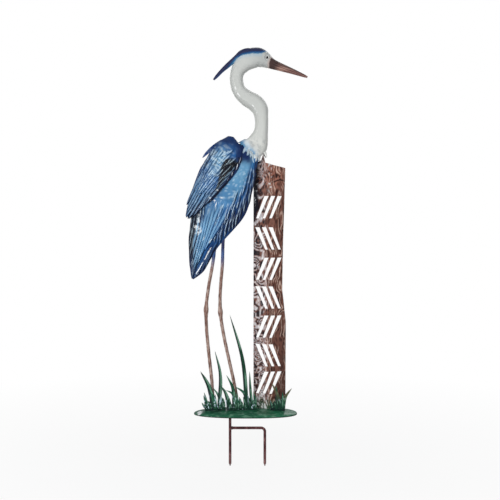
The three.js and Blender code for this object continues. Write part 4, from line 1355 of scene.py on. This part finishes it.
def post_colour(x, z, swing, height):
    """Browns by the height of the bark, with painted grey and white highlights on the left side's ridges, a
    painted shadow of the heron at the upper left, white flecks and green at the foot.
    """
    tone = noise(x / 13, z / 60, 141)
    fine = noise(x / 2.4, z / 12, 142)
    left = left_bark(x, z)
    top = ease(528, 560, z)
    flecks = ease(between(0.6, 0.7, ease(150, 300, z)), 0.78, noise(x / 2.6, z / 4.2, 143))
    column = bell((x - 59) / 4) * ease(530, 545, z)
    worn = fall(26, 64, z) * fall(48, 62, x)
    return coats(
        BARK_DARK,
        (mix(BARK, BARK_RED, 0.9 * top), ease(0.08, 0.34, height)),
        (BARK_TAN, ease(0.5, 0.78, height) * (0.5 + 0.4 * tone + 0.1 * top)),
        # Painted grey highlights on the left side's ridges
        (BARK_HIGHLIGHT_GREY, left * ease(0.42, 0.66, height) * (0.45 + 0.55 * ease(0.25, 0.55, fine))),
        (INK, left * fall(0.1, 0.36, height) * 0.75),
        (BARK_DARK, 0.3 * fall(60, 330, z) * ease(-0.1, 0.6, swing)),
        # Painted shadow of the heron along the post's upper left edge
        (INK, within(1.3 * fall(-0.95, -0.5, swing) * ease(440, 520, z)) * 0.92),
        # White flecks: painted highlights on the left side's ridges, and a column of white specks
        (WHITE, 0.8 * flecks * within(0.7 * left * ease(0.5, 0.7, height) + column)),
        (GREEN, 0.7 * fall(14, 44, z + 16 * (fine - 0.5))),
        (WHITE, 0.75 * worn * ease(0.5, 0.65, noise(x / 3 + z / 9, z / 7, 145))),
    )


make_wings()
make_body()
make_head()
make_plate()
make_stake()
make_legs()
make_grass()
make_post()


# Camera, floor and light. The camera's place is worked out from the photograph's perspective.
FLOOR_Z = -0.1285
FLOOR_RADIUS = 6
DOME_RADIUS = 5.9
FLOOR_COLOUR = (0.86, 0.855, 0.85, 1)
GLOW_COLOUR = (1, 1, 1, 1)
WORLD_COLOUR = (0.93, 0.96, 1, 1)
WORLD_STRENGTH = 0.34
PHOTO_SIZE = 500
FOCAL_PIXELS = 826.6
SENSOR = 36
CAMERA_PLACE = (0.0109, -2.0, 0.44)
CAMERA_DROP = 0.042

# Lights: name, place, aim, width and height, power, and whether paint mirrors it
LIGHTS = [
    ("softbox", (-0.3, -2.9, 1.2), (0, 0, 0.4), (2.0, 2.0), 48, False),
    ("left_wall", (-2.6, -1.4, 0.8), (0, 0, 0.5), (1.6, 1.6), 18, False),
    ("right_wall", (2.6, -1.4, 0.8), (0, 0, 0.5), (1.6, 1.6), 14, False),
    ("key", (-1.5, -2.1, 0.2), (0, 0, 0.6), (0.35, 0.5), 16, True),
    ("rear", (0.6, 2.2, 1.6), (0, 0, 0.4), (1.4, 1.4), 14, True),
]


def make_camera():
    data = bpy.data.cameras.new("photo_view")
    data.sensor_width = SENSOR
    data.lens = SENSOR * FOCAL_PIXELS / PHOTO_SIZE
    camera = bpy.data.objects.new("photo_view", data)
    bpy.context.scene.collection.objects.link(camera)
    camera.location = CAMERA_PLACE
    camera.rotation_euler = (math.pi / 2 - math.atan2(CAMERA_DROP, -CAMERA_PLACE[1]), 0, 0)
    bpy.context.scene.camera = camera


def stage_material(name, dull_floor):
    """White glow, or a pale dull floor that turns into the glow away from the middle."""
    material, tree = new_material(name)
    tree.nodes.clear()
    output = add_node(tree, "OutputMaterial")
    glow = add_node(tree, "Emission", Color=GLOW_COLOUR)
    if not dull_floor:
        join(tree, glow, "Emission", output, "Surface")
        return material
    dull = add_node(tree, "BsdfDiffuse", Color=FLOOR_COLOUR)
    place = add_node(tree, "TexCoord")
    length = add_node(tree, "VectorMath", operation="LENGTH")
    span = add_node(tree, "MapRange", From_Min=0.3, From_Max=1.4, To_Min=0.86)
    blend = add_node(tree, "MixShader")
    join(tree, place, "Object", length, 0)
    join(tree, length, "Value", span, "Value")
    join(tree, span, "Result", blend, "Fac")
    join(tree, dull, "BSDF", blend, 1)
    join(tree, glow, "Emission", blend, 2)
    join(tree, blend, "Shader", output, "Surface")
    return material


def make_stage():
    place = (0, 0, FLOOR_Z)
    bpy.ops.mesh.primitive_circle_add(vertices=96, radius=FLOOR_RADIUS, fill_type="NGON", location=place)
    floor = bpy.context.object
    floor.name = "floor"
    floor.data.materials.append(stage_material("pale_floor", True))
    bpy.ops.mesh.primitive_uv_sphere_add(segments=48, ring_count=24, radius=DOME_RADIUS, location=place)
    dome = bpy.context.object
    dome.name = "backdrop"
    dome.data.materials.append(stage_material("white_backdrop", False))
    dome.visible_shadow = False
    for part in (floor, dome):
        part.visible_diffuse = False
        part.visible_glossy = False


def make_light():
    world = bpy.data.worlds.new("studio")
    bpy.context.scene.world = world
    world.use_nodes = True
    background = world.node_tree.nodes["Background"]
    background.inputs["Color"].default_value = WORLD_COLOUR
    background.inputs["Strength"].default_value = WORLD_STRENGTH
    for name, place, aim, size, power, mirrored in LIGHTS:
        data = bpy.data.lights.new(name, "AREA")
        data.shape = "RECTANGLE"
        data.size, data.size_y = size
        data.energy = power
        lamp = bpy.data.objects.new(name, data)
        bpy.context.scene.collection.objects.link(lamp)
        lamp.location = place
        direction = np.array(aim) - np.array(place)
        flat = math.hypot(direction[0], direction[1])
        lamp.rotation_euler = (math.atan2(flat, -direction[2]), 0, math.atan2(-direction[0], direction[1]))
        lamp.visible_glossy = mirrored
    bpy.context.scene.view_settings.view_transform = "Standard"


make_camera()
make_stage()
make_light()
